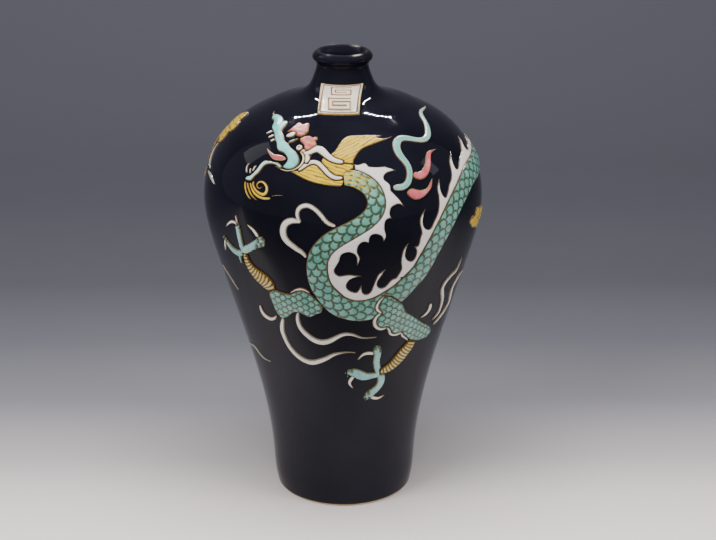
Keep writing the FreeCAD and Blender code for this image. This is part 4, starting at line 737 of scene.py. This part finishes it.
# Trunk, in five stretches that meet without a line; the mane's hair thins out over the first
trunk = {
    "route": [(0.4, 80.05, 0.63), (3, 80.05, 0.7), (6, 79.7, 0.73), (9.3, 78.9, 0.74), (11.9, 77.6, 0.75),
        (12.95, 76, 0.75), (12.7, 74.5, 0.75), (11.1, 73.15, 0.73), (8.3, 71.9, 0.7), (4.6, 70.75, 0.7),
        (0.5, 69.6, 0.74), (-4, 68.2, 0.78), (-7.4, 66.5, 0.8), (-9.6, 64.5, 0.83), (-10.5, 62.1, 0.85),
        (-10.4, 59.8, 0.88), (-9.6, 57.9, 0.9), (-7.7, 56, 0.94), (-5.2, 54.4, 0.99), (-3, 53.2, 1.03),
        (0.5, 52.2, 1.05), (4.9, 51.6, 1.05), (8.8, 51.5, 1.08), (12.6, 51.8, 1.08), (16.5, 52.5, 1.07),
        (21, 53.8, 1.05), (24.9, 55.1, 1.03), (27.6, 56.4, 1), (30.6, 57.9, 0.99), (33.4, 59.5, 0.98),
        (35.1, 61.2, 0.98), (38, 64.1, 0.95), (41.4, 66.9, 0.95), (45.7, 69.75, 0.95), (51, 72.4, 0.93),
        (57, 74.4, 0.93), (63.5, 75.9, 0.93), (70, 76.5, 0.93), (77, 76.8, 0.93), (85, 77.2, 0.93),
        (94, 77, 0.92), (105, 75.9, 0.9), (116, 73, 0.88), (124, 68.5, 0.86), (128, 63, 0.84), (128, 57.5, 0.82),
        (129, 52.5, 0.8), (135, 48.4, 0.78), (146, 46, 0.75), (158, 47.2, 0.72), (166, 51.6, 0.68),
        (171, 57.5, 0.64), (178, 63.6, 0.6), (188, 68.8, 0.56), (201, 72, 0.5), (214, 73, 0.43),
        (226, 72.8, 0.37), (238, 73.4, 0.3), (248, 74.4, 0.22), (255, 75, 0.14)],
    "cuts": [0, 17, 28, 39, 46, 59],
    "look": {**green, "line": 0.8, "pattern": {**scales, "pitch": 6.4, "width": 8.4, "line": 1.9}},
    "streaks": {"pitch": 3.4, "line": 2.0, "wander": 4.0, "colour": "#dcb93a", "reach": 34},
}
for node, first, last in zip(("trunk_neck", "trunk_loop", "trunk_side", "trunk_back", "trunk_tail"),
                             trunk["cuts"], trunk["cuts"][1:]):
    isNeck = node == "trunk_neck"
    lay(node, {
        "relief": 1.6, "crown": 3.0, "swell": 0.3, "square": True, "held": True, "merged": isNeck,
        "paths": [strokePath(trunk["route"], trunkUnit, first=first, last=last)],
        "look": {**trunk["look"], "streaks": trunk["streaks"]} if isNeck else trunk["look"],
    })
laidRings.extend(heldRings)
heldRings.clear()
print("trunk done")

# Fins behind the trunk's edge
fin = {
    "relief": 1.1,
    "look": {"colour": "#efe6e3", "second": "#f6efe8", "deep": "#cdbab2", "slip": "#6f5c4a", "pool": 1.8,
             "line": 0.6},
}
loopSeam, sideSeam = ((-2.7, 62.55), (-7.6, 62.55)), ((22, 58.75), (24.6, 58.8))
lay("neck_fin", {
    **fin, "held": True, "open": [loopSeam],
    "outlines": [[(4.8, 82.5, 1), (6.8, 82.3), (10, 82.5), (11.3, 81.95, 1), (14, 81.75), (17.5, 81.7),
        (20.4, 81.45), (23.7, 80.85, 1), (20.8, 80.7), (18, 80.3), (17.3, 79.6), (18.7, 78.95), (19.6, 78.4, 1),
        (19.4, 77.5, 1), (21, 76.6), (22.8, 75.5), (24.5, 74.05, 1), (22.2, 74.75), (20.5, 74.65), (19, 74.25),
        (18.3, 73.55), (18.3, 72.8), (19.1, 72.1, 1), (17.4, 72.15), (16.3, 71.65), (15.9, 70.7), (16.1, 69.65),
        (16.5, 68.7), (15.5, 67.5, 1), (14.8, 68.6), (13.2, 69.15), (11.5, 69.25), (10.2, 68.75), (9.8, 67.5, 1),
        (7.6, 67.75), (6.1, 67.25), (5.4, 66.35), (5.5, 65.4), (6.4, 64.2), (5.3, 62.5, 1), (5.3, 63.6),
        (4.9, 64.7), (4, 65.25), (2.4, 65.6), (0.6, 65.5), (-0.9, 64.9), (-1.6, 63.7), (-2.7, 62.55, 1),
        (-7.6, 62.55, 1), (-7, 64.2), (-5.6, 65.6), (-4, 66.6), (-1.8, 67.5), (0.8, 68.35), (3.4, 69.2),
        (6, 70.15), (8.5, 70.95), (10.5, 71.8), (12.3, 72.6), (13.6, 73.4), (14.6, 74.2), (15.2, 75.1),
        (15.3, 76), (14.9, 77.1), (13.7, 78.2), (11.8, 79.1), (9.4, 80), (7.2, 80.6), (4.6, 81, 1), (5.2, 81.8)]],
})
lay("loop_fin", {
    **fin, "held": True, "open": [loopSeam[::-1], sideSeam],
    "outlines": [[(-7.6, 62.55, 1), (-2.7, 62.55, 1), (-3.5, 61.6), (-3.2, 60.8), (-1.7, 60.2), (0.5, 60.35),
        (3, 60.4), (7.2, 60, 1), (4.3, 59.72), (2.6, 59.25), (1.5, 58.5), (1.2, 57.7), (1.8, 57), (3.4, 56.4),
        (5.5, 56.2), (6.6, 57), (7.5, 57.9, 1), (7.6, 56.9), (8.3, 55.9), (9.9, 55.55), (11.4, 56), (12.2, 57),
        (12.8, 58.2), (13.5, 59.35), (14.5, 60.3), (17.1, 61.15, 1), (15.6, 59.9), (14.4, 58.8), (14, 57.85),
        (14.8, 57.05), (16.5, 56.8), (18.2, 57.3), (20, 58.4), (22, 58.75, 1), (24.6, 58.8, 1), (22.6, 56.6),
        (19.8, 55.3), (17.2, 54.4), (14.7, 53.8), (11.7, 53.4), (7.4, 53.4), (3.6, 53.8), (0.6, 54.6), (-2, 55.4),
        (-4, 56.3), (-5.6, 57.5), (-7, 59), (-7.7, 60.7)]],
})
lay("side_fin", {
    **fin, "held": True, "open": [sideSeam[::-1]],
    "outlines": [[(22, 58.75, 1), (23.3, 59.9), (23.9, 61), (23.4, 62.35), (23.4, 64), (24, 65.3),
        (25.9, 66.5, 1), (25.1, 65.2), (24.8, 64.1), (25.5, 63.1), (27.1, 62.4), (28.7, 62.35), (29.6, 63.15),
        (29.8, 64.4), (28.7, 65.5, 1), (30.2, 65.5), (31, 67), (31.6, 68.2), (31.1, 69.4), (30.8, 70.4),
        (31.3, 71.5), (33.8, 72.9, 1), (32.6, 71.6), (32.2, 70.3), (32.8, 69.3), (34.1, 68.7), (35.6, 68.6),
        (36.8, 69.3), (38, 70.2), (39.4, 71.2), (40.4, 72.4), (40.9, 73.65), (41.1, 75), (41.2, 76.3),
        (43.7, 77.95, 1), (43, 76.9), (42.7, 75.9), (43.4, 74.75), (44.8, 74.1), (46.1, 74.7), (47.3, 75.5),
        (48.3, 76.2), (50.2, 76.95), (51.7, 77.85), (52.8, 78.9), (54, 80.1), (59, 81.5, 1), (56.8, 80.5),
        (55.8, 79.5), (55.9, 78.75), (57, 78.35), (58.7, 78.65), (61, 79.4), (64.5, 80.1), (67.5, 80.5),
        (70.2, 81.1), (77, 82.8, 1), (75.3, 81.6), (74, 80.7), (75, 80.1), (78, 80.1, 1), (78, 77.6, 1),
        (70, 77.4), (64, 76.8), (58, 75.6), (52, 74.4), (46.4, 72.6), (43, 70.6), (40, 68.4), (37, 66),
        (34.4, 63.4), (32.2, 60.8), (29.5, 58.9), (26.5, 58), (24.6, 58.8, 1)]],
})
laidRings.extend(heldRings)

# Flames that lean along the trunk round the back, out from its left edge
backFlames = {"stretch": (38, 53), "start": 4, "stop": 26, "pitch": 15.0, "leads": (0, 5, 12, 20),
              "reaches": (-2.0, 1.5, 3.6, 8.0), "widths": (0.9, 0.95, 0.5, 0.05)}


def flameRoutes(plan):
    first, last = plan["stretch"]
    path = strokePath(trunk["route"], trunkUnit, first=first, last=last)
    left, right = strokeSides(path)
    rates = np.stack(millimetresPer(path[:, 1]), 1)
    outward = (left - right) * rates
    outward /= np.linalg.norm(outward, axis=1, keepdims=True)
    routes = []
    for start in np.arange(path[0, 5] + plan["start"], path[-1, 5] - plan["stop"], plan["pitch"]):
        rows = [int(np.searchsorted(path[:, 5], start + lead)) for lead in plan["leads"]]
        places = [left[row] + outward[row] * reach / rates[row] for row, reach in zip(rows, plan["reaches"])]
        routes.append([(*place, width) for place, width in zip(places, plan["widths"])])
    return routes


lay("back_fin", {**fin, "apart": True, "strokes": flameRoutes(backFlames)})
print("fins done")

# Legs: the left foreleg, the right one below its thigh, and the hind pair round the back
shin = {
    "relief": 2.0, "crown": 3.0,
    "look": {"colour": "#e0bb38", "second": "#ecd063", "deep": "#a87f1e", "slip": "#6a4f26",
             "pattern": {"kind": "stripes", "pitch": 3.0, "line": 1.5, "bow": 0.03, "fade": 0.3,
                         "colour": "#3c3013"}},
}
paw = {
    "relief": 1.9, "crown": 2.2, "joined": True,
    "look": {**turquoise, "colour": "#7fb5b0", "second": "#9cc8c2", "deep": "#4f857c", "slip": "#7c7a52",
             "line": 0.6},
}
claw = {"relief": 1.4, "look": {**white, "line": 0.35, "pool": 0.8}}
tuft = {"relief": 1.2, "unit": ribbonUnit, "look": {**white, "line": 0.5}}
lay("left_thigh", {
    "relief": 1.9, "crown": 2.2, "swell": 0.6, "look": thighLook,
    "outlines": [[(-31.2, 55.3, 1), (-27.1, 54.9), (-23.8, 54.85, 1), (-21.5, 55.5), (-19.5, 55.95),
        (-17.6, 56.1), (-16, 55.9), (-14, 55.4, 1), (-9, 53, 1), (-10.2, 51), (-12.2, 50.6), (-14.4, 49.9),
        (-16.5, 49.8), (-18.6, 50.2), (-20.8, 50.6), (-23, 50.4), (-25.2, 49.6), (-27.7, 48.7), (-30.2, 48.4),
        (-31.8, 49.1), (-33, 50.2), (-33.7, 51.6), (-34.3, 53.2), (-34.2, 54.3)]],
})
lay("left_shin", {**shin, "strokes": [[(-43.2, 62.4, 0.5), (-42.9, 60.9, 0.65),
    (-41.6, 59.4, 0.9), (-39, 58.1, 1.25), (-35.9, 57.1, 1.4), (-33.6, 56, 1.3), (-32.6, 54.7, 0.9)]]})
lay("left_paw", {
    **paw, "strokes": [[(-44.9, 62.5, 0.5), (-42.6, 63.3, 0.7), (-40, 64.1, 0.7), (-37.3, 65, 0.7),
        (-35, 65.7, 0.8), (-33, 66.3, 0.9), (-31.8, 66.6, 0.5)], [(-44.3, 63.2, 0.55), (-44.6, 65, 0.55),
        (-45, 66.6, 0.55), (-45.5, 67.7, 0.46), (-46.4, 68.3, 0.3)], [(-44.5, 62.5, 0.6), (-47, 62, 0.6),
        (-49.3, 62, 0.6), (-51.8, 62.5, 0.55), (-53.8, 63.3, 0.4), (-56.3, 64.4, 0.15)], [(-46.4, 62.5, 0.36),
        (-46.9, 60.8, 0.3), (-46.7, 59.6, 0.1)]],
    "beads": [(-34.8, 66.3), (-33, 67.1), (-32, 66.4), (-33.4, 65.5), (-35.6, 65), (-46, 68.6), (-44.6, 68.2),
              (-56, 64.4), (-54.6, 63.9)],
})
lay("left_claws", {**claw, "strokes": [[(-34.2, 66.6, 0.2), (-35.2, 67.3, 0.28),
    (-37, 68.3, 0.24), (-40.2, 69.2, 0.06)], [(-45, 68.2, 0.14), (-47.2, 68.8, 0.24), (-50.2, 68.4, 0.24),
    (-53, 67.1, 0.06)], [(-45.7, 68, 0.2), (-46, 69.5, 0.18), (-46.8, 70.4, 0.06)], [(-55.6, 63.8, 0.16),
    (-56.4, 62.6, 0.24), (-57.6, 61.1, 0.08)]]})
lay("left_tufts", {**tuft, "strokes": [[(-42.3, 50.1, 0.14), (-42.4, 49.1, 0.3),
    (-41.7, 48.1, 0.38), (-39.8, 47.45, 0.38), (-37.3, 47.3, 0.32), (-34.8, 47.8, 0.24), (-33.4, 48.6, 0.1)],
    [(-23.6, 55.1, 0.08), (-21.5, 55.75, 0.18), (-19.5, 56.25, 0.24), (-17.6, 56.4, 0.24), (-15.9, 56.2, 0.18),
    (-14.2, 55.7, 0.08)]]})
lay("right_shin", {**shin, "strokes": [[(38.1, 42, 0.9), (36.9, 40.5, 1.1), (34.6, 39.3, 1.2),
    (32.3, 38.1, 1.2), (29.9, 37, 1.1), (27.1, 36.1, 0.95), (24, 35.5, 0.8), (20.8, 35.2, 0.65)]]})
lay("right_paw", {
    **paw, "strokes": [[(20.8, 34.6, 0.6), (18.8, 36.55, 0.62), (18, 38.4, 0.62), (18.1, 40.1, 0.66),
        (17.3, 41.5, 0.66), (16.3, 42.1, 0.3)], [(20.8, 34.5, 0.6), (15.8, 34.4, 0.65), (12.2, 34.4, 0.85),
        (9, 34.95, 0.95), (5.5, 35.65, 0.8), (1.8, 35.5, 0.45)], [(21.6, 34.6, 0.7), (22.4, 32.5, 0.7),
        (20.8, 31.1, 0.68), (18, 30.1, 0.75), (15.2, 29.2, 0.7), (13.8, 28.1, 0.5)]],
    "beads": [(16.4, 41.6), (18.2, 42), (19.4, 41), (1, 35.6), (2.4, 36.3), (4.4, 36.2), (2.2, 34.8), (13, 29.4),
              (15.2, 29.9), (13.6, 28.2), (15.8, 28.4)],
})
lay("right_claws", {**claw, "strokes": [[(17, 40.1, 0.26), (13.6, 40.45, 0.34),
    (10.4, 40.25, 0.26), (7.4, 38.9, 0.06)], [(6.4, 35, 0.26), (4.3, 33.9, 0.32), (3.4, 32.8, 0.26),
    (5.6, 31.4, 0.06)], [(14.8, 29.4, 0.26), (17.8, 28.6, 0.34), (21.6, 28.1, 0.28), (26.2, 28.7, 0.06)]]})
lay("right_tuft", {**tuft, "strokes": [[(40, 47.1, 0.08), (43, 47.5, 0.26), (45.1, 48.35, 0.36),
    (45.2, 49.5, 0.32), (44.8, 50, 0.16)]]})
lay("hind_shins", {**shin, "strokes": [[(101.5, 49.2, 0.8), (101, 46.8, 1), (102.6, 44.4, 0.85),
    (105, 42.3, 0.65), (106.4, 40.6, 0.5)], [(195, 49.6, 0.8), (196.4, 47, 1), (195.6, 44.6, 0.85),
    (193.6, 42.4, 0.65), (192.6, 40.6, 0.5)]]})
lay("hind_paws", {**paw, "strokes": [[(106.4, 41, 0.6), (101, 40.6, 0.6), (96.6, 39.6, 0.75),
    (92.6, 39.4, 0.4)], [(106.4, 41.2, 0.6), (105.4, 38.6, 0.6), (102.6, 36.4, 0.7), (101, 34.4, 0.4)],
    [(106, 41, 0.6), (111, 39.6, 0.6), (115, 37.6, 0.7), (118, 36.6, 0.4)], [(192.8, 41, 0.6), (198, 40.6, 0.6),
    (202.4, 39.6, 0.75), (206.4, 39.4, 0.4)], [(192.8, 41.2, 0.6), (193.8, 38.6, 0.6), (196.6, 36.4, 0.7),
    (198, 34.4, 0.4)], [(193.2, 41, 0.6), (188, 39.6, 0.6), (184, 37.6, 0.7), (181, 36.6, 0.4)]]})
lay("hind_claws", {**claw, "strokes": [[(92.4, 38.5, 0.24), (89.2, 37.6, 0.26),
    (88.4, 36.3, 0.06)], [(99.6, 34.6, 0.24), (96.6, 34, 0.26), (94.4, 34.8, 0.06)], [(119, 37.4, 0.24),
    (121.6, 38.4, 0.26), (121.4, 40, 0.06)], [(206.6, 38.5, 0.24), (209.8, 37.6, 0.26), (210.6, 36.3, 0.06)],
    [(199.4, 34.6, 0.24), (202.4, 34, 0.26), (204.6, 34.8, 0.06)], [(180, 37.4, 0.24), (177.4, 38.4, 0.26),
    (177.6, 40, 0.06)]]})
lay("tail_tuft", {
    "relief": 1.3, "joined": True, "look": {**yellow, "line": 0.6},
    "strokes": [[(254, 75, 0.2), (259, 76.6, 0.5), (262.6, 79, 0.4), (263.6, 81.6, 0.06)], [(254, 75, 0.2),
        (261, 75.4, 0.5), (268, 76.4, 0.36), (273, 78, 0.06)], [(254, 75, 0.2), (260, 73.6, 0.5),
        (267, 72.8, 0.36), (273, 73, 0.06)]],
})
print("legs done")

# Ribbons, whiskers, flames, wisps and clouds
ribbon = {
    "relief": 1.3, "crown": 2.0, "unit": ribbonUnit,
    "look": {**white, "line": 0.8, "pool": 2.0, "pooling": 0.6, "deep": "#b5a794", "slip": "#8d7f6a",
             "slipDark": "#65584a"},
}
lay("heart_ribbon", {**ribbon, "joined": True, "strokes": [[(-2.8, 71.1, 0.2), (-4.8, 71.4, 0.28),
    (-6.6, 72, 0.3), (-8.2, 72.95, 0.32), (-9.8, 73.8, 0.32), (-11.7, 74.5, 0.32), (-14, 74.9, 0.34),
    (-15.9, 74.7, 0.35), (-17.4, 74.1, 0.34), (-17.9, 73.1, 0.3), (-17.4, 72.15, 0.26), (-16.4, 71.4, 0.18)],
    [(-16.4, 71.5, 0.2), (-18.7, 71.7, 0.36), (-20.9, 71.5, 0.46), (-22.7, 70.8, 0.5), (-23.5, 69.65, 0.52),
    (-23.3, 68.4, 0.5), (-22, 67.3, 0.46), (-20, 66.5, 0.42), (-17.9, 65.75, 0.38), (-15.9, 65.1, 0.32),
    (-14.4, 64.1, 0.2)]]})
lay("whisker_outer", {**ribbon, "strokes": [[(-29.6, 48.4, 0.2), (-30.8, 46.95, 0.34),
    (-31.7, 45.35, 0.4), (-31.4, 43.7, 0.4), (-30.3, 41.95, 0.4), (-28.5, 40.45, 0.4), (-25.6, 39.1, 0.42),
    (-21.8, 38.15, 0.44), (-17.3, 37.85, 0.46), (-12.7, 38.5, 0.42), (-9, 39.3, 0.36), (-5.4, 40.25, 0.28),
    (-1.9, 40.75, 0.18), (2.3, 40.95, 0.1), (6.2, 40.8, 0.06)]]})
lay("whisker_inner", {**ribbon, "strokes": [[(-20.9, 50.65, 0.18), (-21.8, 49.2, 0.3),
    (-21.7, 47.5, 0.36), (-20.5, 46.1, 0.4), (-18.2, 44.9, 0.43), (-15, 43.85, 0.46), (-11.3, 43.4, 0.48),
    (-7.2, 43.8, 0.44), (-3.8, 44.7, 0.36), (-0.5, 45.5, 0.3), (2.4, 45.65, 0.25), (5.4, 45.3, 0.2),
    (8.8, 44.6, 0.14), (13.2, 44.4, 0.09), (16.7, 44.4, 0.06)]]})
lay("wave_ribbons", {**ribbon, "strokes": [[(50.3, 45.15, 0.1), (52.8, 45.7, 0.24),
    (54.7, 46.4, 0.3), (55.2, 47.7, 0.34), (54.8, 49.2, 0.36), (53.6, 50.6, 0.38), (51.7, 52.2, 0.4),
    (51.3, 53.35, 0.4), (52.5, 54.15, 0.38), (54.7, 54.9, 0.34), (57.5, 55.4, 0.3), (59.8, 55.8, 0.26),
    (60.6, 56.65, 0.22), (61.4, 57.6, 0.14), (62, 58.6, 0.06)], [(52.6, 43.65, 0.14), (56, 44.3, 0.3),
    (59.5, 45.15, 0.34), (62.3, 46.05, 0.36), (64.2, 47.25, 0.38), (63.9, 48.7, 0.38), (62.8, 50.1, 0.38),
    (62.4, 51.4, 0.38), (63.6, 52.2, 0.36), (66, 53.2, 0.3), (69, 53.8, 0.2), (72, 54, 0.08)]]})
lay("flame_ribbon", {
    "relief": 1.3, "crown": 2.2,
    "strokes": [[(20.6, 77.97, 0.44), (23.1, 77.8, 0.54), (25.4, 77.9, 0.56), (27.3, 78.35, 0.56),
        (28.8, 79.2, 0.56), (29.8, 80.35, 0.56), (29.8, 81.4, 0.58), (28.7, 82.5, 0.62), (27.7, 83.4, 0.68),
        (27.7, 84.4, 0.7), (29.2, 85.2, 0.7), (32.4, 85.65, 0.64), (36.1, 85.58, 0.6), (39.6, 85.25, 0.56),
        (43.1, 84.9, 0.54), (47, 84.8, 0.56), (51.3, 85.2, 0.58), (55.2, 85.9, 0.54), (59, 86.65, 0.48),
        (62, 87.25, 0.44), (65.9, 87.8, 0.4), (71.4, 88.1, 0.36), (79, 88.05, 0.28), (86, 88, 0.1)]],
    "look": {"colour": "#5fb3a8", "second": "#7cc6bb", "deep": "#c9cfc0", "slip": "#8d7f6a", "pool": 2.0,
             "pooling": 0.85, "line": 0.7},
})
lay("pink_flame", {"relief": 1.3, "look": pink, "strokes": [[(31.1, 79.8, 0.5), (33.4, 79.3, 0.65),
    (36.1, 79.4, 0.68), (39, 80.2, 0.6), (41.3, 81.3, 0.54), (44, 82.5, 0.4), (47.4, 82.8, 0.16),
    (50, 82.85, 0.06)]]})
lay("pink_crescent", {"relief": 1.3, "look": pink, "outlines": [[(26.4, 76.6), (28.5, 77.3),
    (30.9, 76.98), (33.4, 76.7), (35.7, 76.8), (37.7, 77.45), (39.9, 78.3, 1), (38.4, 76.8), (36.3, 76),
    (34, 75.4), (31.6, 75.1), (29.7, 75.1), (27.8, 75.55)]]})
cloudLine = {"kind": "strands", "pitch": 5.0, "line": 0.9, "angle": 5, "wander": 6.0, "fade": 0.3}
cloud = {"relief": 1.3, "look": {**yellow, "pattern": cloudLine}}
lay("right_cloud", {**cloud, "outlines": [[(61, 66.65, 1), (63.5, 67.6), (66.5, 67.3, 1),
    (68, 68.3), (70.8, 68.6), (73, 67.7), (73.2, 67.3, 1), (76, 67.9), (79.4, 67.2), (79.6, 65.8), (77, 64.9),
    (74.4, 65.1, 1), (73, 64.1), (70, 63.9), (68.4, 64.8, 1), (66, 64.6), (63.6, 65.4)]]})
lay("left_cloud", {**cloud, "outlines": [[(-92, 86.3), (-88, 86.7), (-84, 86.2),
    (-82.2, 85.5, 1), (-79.4, 85.3), (-77.4, 84.4), (-78.8, 83.5), (-81, 83.3, 1), (-79.6, 82.4), (-80.6, 81.2),
    (-84, 80.7), (-87, 81.2, 1), (-91, 80.9), (-94.5, 81.8), (-94, 83.1), (-92, 83.6, 1), (-95.8, 84.2),
    (-95.6, 85.5)]]})
lay("tail_wisps", {
    "relief": 1.0, "strokes": [[(-84, 80.6, 0.12), (-84.5, 79.5, 0.2), (-84, 78.4, 0.24), (-81.6, 77.2, 0.24),
        (-79, 76.6, 0.16), (-75.5, 76.3, 0.08)], [(-78, 75.4, 0.12), (-73, 75.3, 0.34), (-68.5, 74.8, 0.3),
        (-65.2, 74.4, 0.06)], [(-75, 35.6, 0.08), (-66, 36.8, 0.14), (-60.4, 36.7, 0.18), (-56.6, 35.7, 0.16),
        (-52.6, 35.15, 0.12), (-46.8, 35.2, 0.05)], [(-70, 55.6, 0.06), (-64, 54.2, 0.12), (-60, 52.6, 0.12),
        (-57.4, 51.6, 0.05)]],
    "look": {**white, "colour": "#b5afa5", "second": "#a39d94", "slip": "#8a8072", "slipDark": "#6a5f52",
             "line": 0.3},
})
print("ribbons done")

# Label: a white field in a double brown border, with two square frets, drawn as it is seen from the front
label = {
    "width": 34.6, "middle": -0.107, "levels": (89.5, 94), "lean": 0.097, "border": 2.4,
    "frets": [((89.95, 91.6), 0.28), ((91.95, 93.55), 0.25)], "bar": 1.7, "rows": 7,
}


def frontRing(corners, pitch=1.0):
    # A closed line between corners given as X and Z, laid on the front of the vase
    rows = []
    for start, end in zip(corners, corners[1:] + corners[:1]):
        steps = max(1, round(math.dist(start, end) / pitch))
        rows += [(start[0] + (end[0] - start[0]) * step / steps, start[1] + (end[1] - start[1]) * step / steps)
                 for step in range(steps)]
    across, rise = np.array(rows).T
    level = rise / vaseHeight * 100
    return np.stack([np.degrees(np.arcsin(across / wallAt(level)[0])), level], 1)


def labelCorners(inset):
    middle = label["width"] * label["middle"]
    low, high = (level / 100 * vaseHeight for level in label["levels"])
    rise = inset * (high - low) / label["width"]
    half = label["width"] / 2 - inset
    lean = label["width"] * label["lean"]
    return [(middle - half, low + rise), (middle + half, low + rise), (middle + half + lean, high - rise),
            (middle - half + lean, high - rise)]


def fretCorners():
    # Square spirals of bars
    bars = []
    bar = label["bar"]
    bottom, top = label["levels"]
    for levels, share in label["frets"]:
        middle = label["width"] * (label["middle"] + label["lean"] * (sum(levels) / 2 - bottom) / (top - bottom))
        low, high = (level / 100 * vaseHeight for level in levels)
        thick = (high - low) / label["rows"]
        left, right = middle - label["width"] * share, middle + label["width"] * share
        for x0, x1, z0, z1 in ((left, right, high - thick, high), (left, left + bar, low, high),
                               (left, right, low, low + thick), (right - bar, right, low, high - thick * 2),
                               (left + bar * 2, right, high - thick * 3, high - thick * 2),
                               (left + bar * 2, left + bar * 3, low + thick * 2, high - thick * 2),
                               (left + bar * 2, right - bar * 2, low + thick * 2, low + thick * 3)):
            bars.append([(x0, z0), (x1, z0), (x1, z1), (x0, z1)])
    return bars


lay("label_field", {
    "relief": 0.9, "crown": 0.6, "rings": [frontRing(labelCorners(label["border"]))],
    "look": {**white, "colour": "#f0e2d2", "second": "#eadbc8", "deep": "#d8c4ac", "line": 0.2},
})
lay("label_border", {
    "relief": 1.1, "crown": 0.8, "rings": [frontRing(labelCorners(0))],
    "look": {**white, "colour": "#e6d8bc", "second": "#ddcba6", "deep": "#cdb88e", "slip": "#a9853f", "line": 0.7},
})
laidRings.clear()
lay("label_fret", {
    "relief": 1.3, "crown": 0.4, "rings": [frontRing(corners, 0.7) for corners in fretCorners()], "look": brown,
})
print("label done")


# Plain sweep; its colour carries painted light: a painted pool of light where the vase stands, painted falloff to
# grey behind it, and a painted shadow in front of it that keeps the glaze's reflection of the floor dark. Its greys
# go from the front to the back
stage = {
    "front": -3.0, "back": 1.0, "turn": 1.2, "top": 4.0, "side": 3.5, "reach": (-1.2, 2.2),
    "paintedLightGreys": [(-1.0, "#2a2a2f"), (-0.45, "#565356"), (-0.27, "#7f7a7b"), (-0.2, "#a59f9e"), (-0.14, "#fdf4f0"),
              (-0.05, "#e6dcda"), (0.03, "#bbb4b5"), (0.16, "#868489"), (0.32, "#67676e"), (0.5, "#535359"),
              (0.83, "#505058"), (1.26, "#56565e"), (1.7, "#5c5c65"), (2.1, "#63636c")],
}


def sweepMaterial():
    material, tree, place = newMaterial("painted studio sweep")
    low, high = stage["reach"]
    depth = ranged(addNode(tree, "SeparateXYZ", gives=1, Vector=place), low, high, kind="LINEAR")
    ramp = addNode(tree, "ValToRGB", gives=None, Fac=depth)
    stops = ramp.color_ramp.elements
    # The ramp paints the light on the sweep: a painted shadow in front, a painted pool of light at the vase and
    # painted falloff behind it
    for index, (y, code) in enumerate(stage["paintedLightGreys"]):
        stop = stops[index] if index < 2 else stops.new((y - low) / (high - low))
        stop.position, stop.color = (y - low) / (high - low), colour(code)
    surfaced(tree, Base_Color=Value(tree, ramp.outputs[0]), Roughness=mottled(place, 8.0, 0.8, 0.9),
             Specular_IOR_Level=0.2)
    return material


def studioSweep():
    sweep = bmesh.new()
    first, last = (sweep.verts.new((-stage["side"], stage[end], 0)) for end in ("front", "back"))
    sweep.edges.new((first, last))
    bent = bmesh.ops.spin(sweep, geom=[last], cent=(0, stage["back"], stage["turn"]), axis=(1, 0, 0), dvec=(0, 0, 0),
                          angle=math.pi / 2, steps=32, use_duplicate=False)
    top = bmesh.ops.extrude_vert_indiv(sweep, verts=vertsOf(bent["geom_last"]))
    bmesh.ops.translate(sweep, vec=(0, 0, stage["top"]), verts=top["verts"])
    wide = bmesh.ops.extrude_edge_only(sweep, edges=sweep.edges[:])
    bmesh.ops.translate(sweep, vec=(stage["side"] * 2, 0, 0), verts=vertsOf(wide["geom"]))
    made("studioSweep", sweep, sweepMaterial())


studioSweep()


def lamp(name, place, target, wide, high, watts, mirrored=False):
    # A soft lamp that lights the scene, or a mirrored one that only shows in the glaze
    light = bpy.data.lights.new(name, "AREA")
    light.shape = "RECTANGLE"
    light.size, light.size_y, light.energy = wide, high, watts
    piece = bpy.data.objects.new(name, light)
    bpy.context.collection.objects.link(piece)
    piece.location = place
    piece.visible_glossy, piece.visible_diffuse = mirrored, not mirrored
    aim = np.array(target) - np.array(place)
    piece.rotation_euler = (math.acos(-aim[2] / np.linalg.norm(aim)), 0, math.atan2(aim[1], aim[0]) - math.pi / 2)


belly, shoulder, floor = (0, 0, 0.2), (0, 0, 0.3), (0, 0.01, 0)
lamp("key", (-1.5, -1.2, 1.6), belly, 1.2, 1.2, 37)
lamp("fill", (1.7, -1.0, 1.2), belly, 1.0, 1.0, 20)
lamp("front", (0, -2.4, 1.2), belly, 1.4, 0.8, 18)
lamp("overhead", (0, -0.25, 2.6), floor, 2.0, 1.2, 64)
lamp("window", (-1.5, 0.45, 1.5), shoulder, 0.5, 0.7, 2.0, True)
lamp("door", (1.8, 0.05, 1.4), shoulder, 0.3, 0.5, 1.0, True)

# Two rows of small lamps, which show as a dotted line across the shoulder
spots = {
    "places": [(0.49, 0.78), (0.44, 0.745), (0.39, 0.73), (0.34, 0.73), (0.29, 0.77), (0.24, 0.84), (0.19, 0.93)],
    "rise": 1.40, "size": 0.018, "watts": 2.6,
}
for index, (aside, back) in enumerate(spots["places"]):
    for side, way in (("left", -1), ("right", 1)):
        lamp("%sSpot%d" % (side, index), (aside * way, back, spots["rise"]), shoulder, spots["size"],
             spots["size"], spots["watts"], True)

world = bpy.data.worlds.new("studio")
world.use_nodes = True
bpy.context.scene.world = world
sky = world.node_tree.nodes["Background"].inputs
sky[0].default_value, sky[1].default_value = colour("#a9acb4"), 0.48

photo = {"lens": 77.5, "sensor": 36, "place": (0, -1.276, 0.680), "tilt": 69.49, "turn": -0.58}
camera = bpy.data.cameras.new("photo")
camera.lens, camera.sensor_width = photo["lens"], photo["sensor"]
viewer = bpy.data.objects.new("photo", camera)
bpy.context.collection.objects.link(viewer)
viewer.location = photo["place"]
viewer.rotation_euler = (math.radians(photo["tilt"]), 0, math.radians(photo["turn"]))
bpy.context.scene.camera = viewer
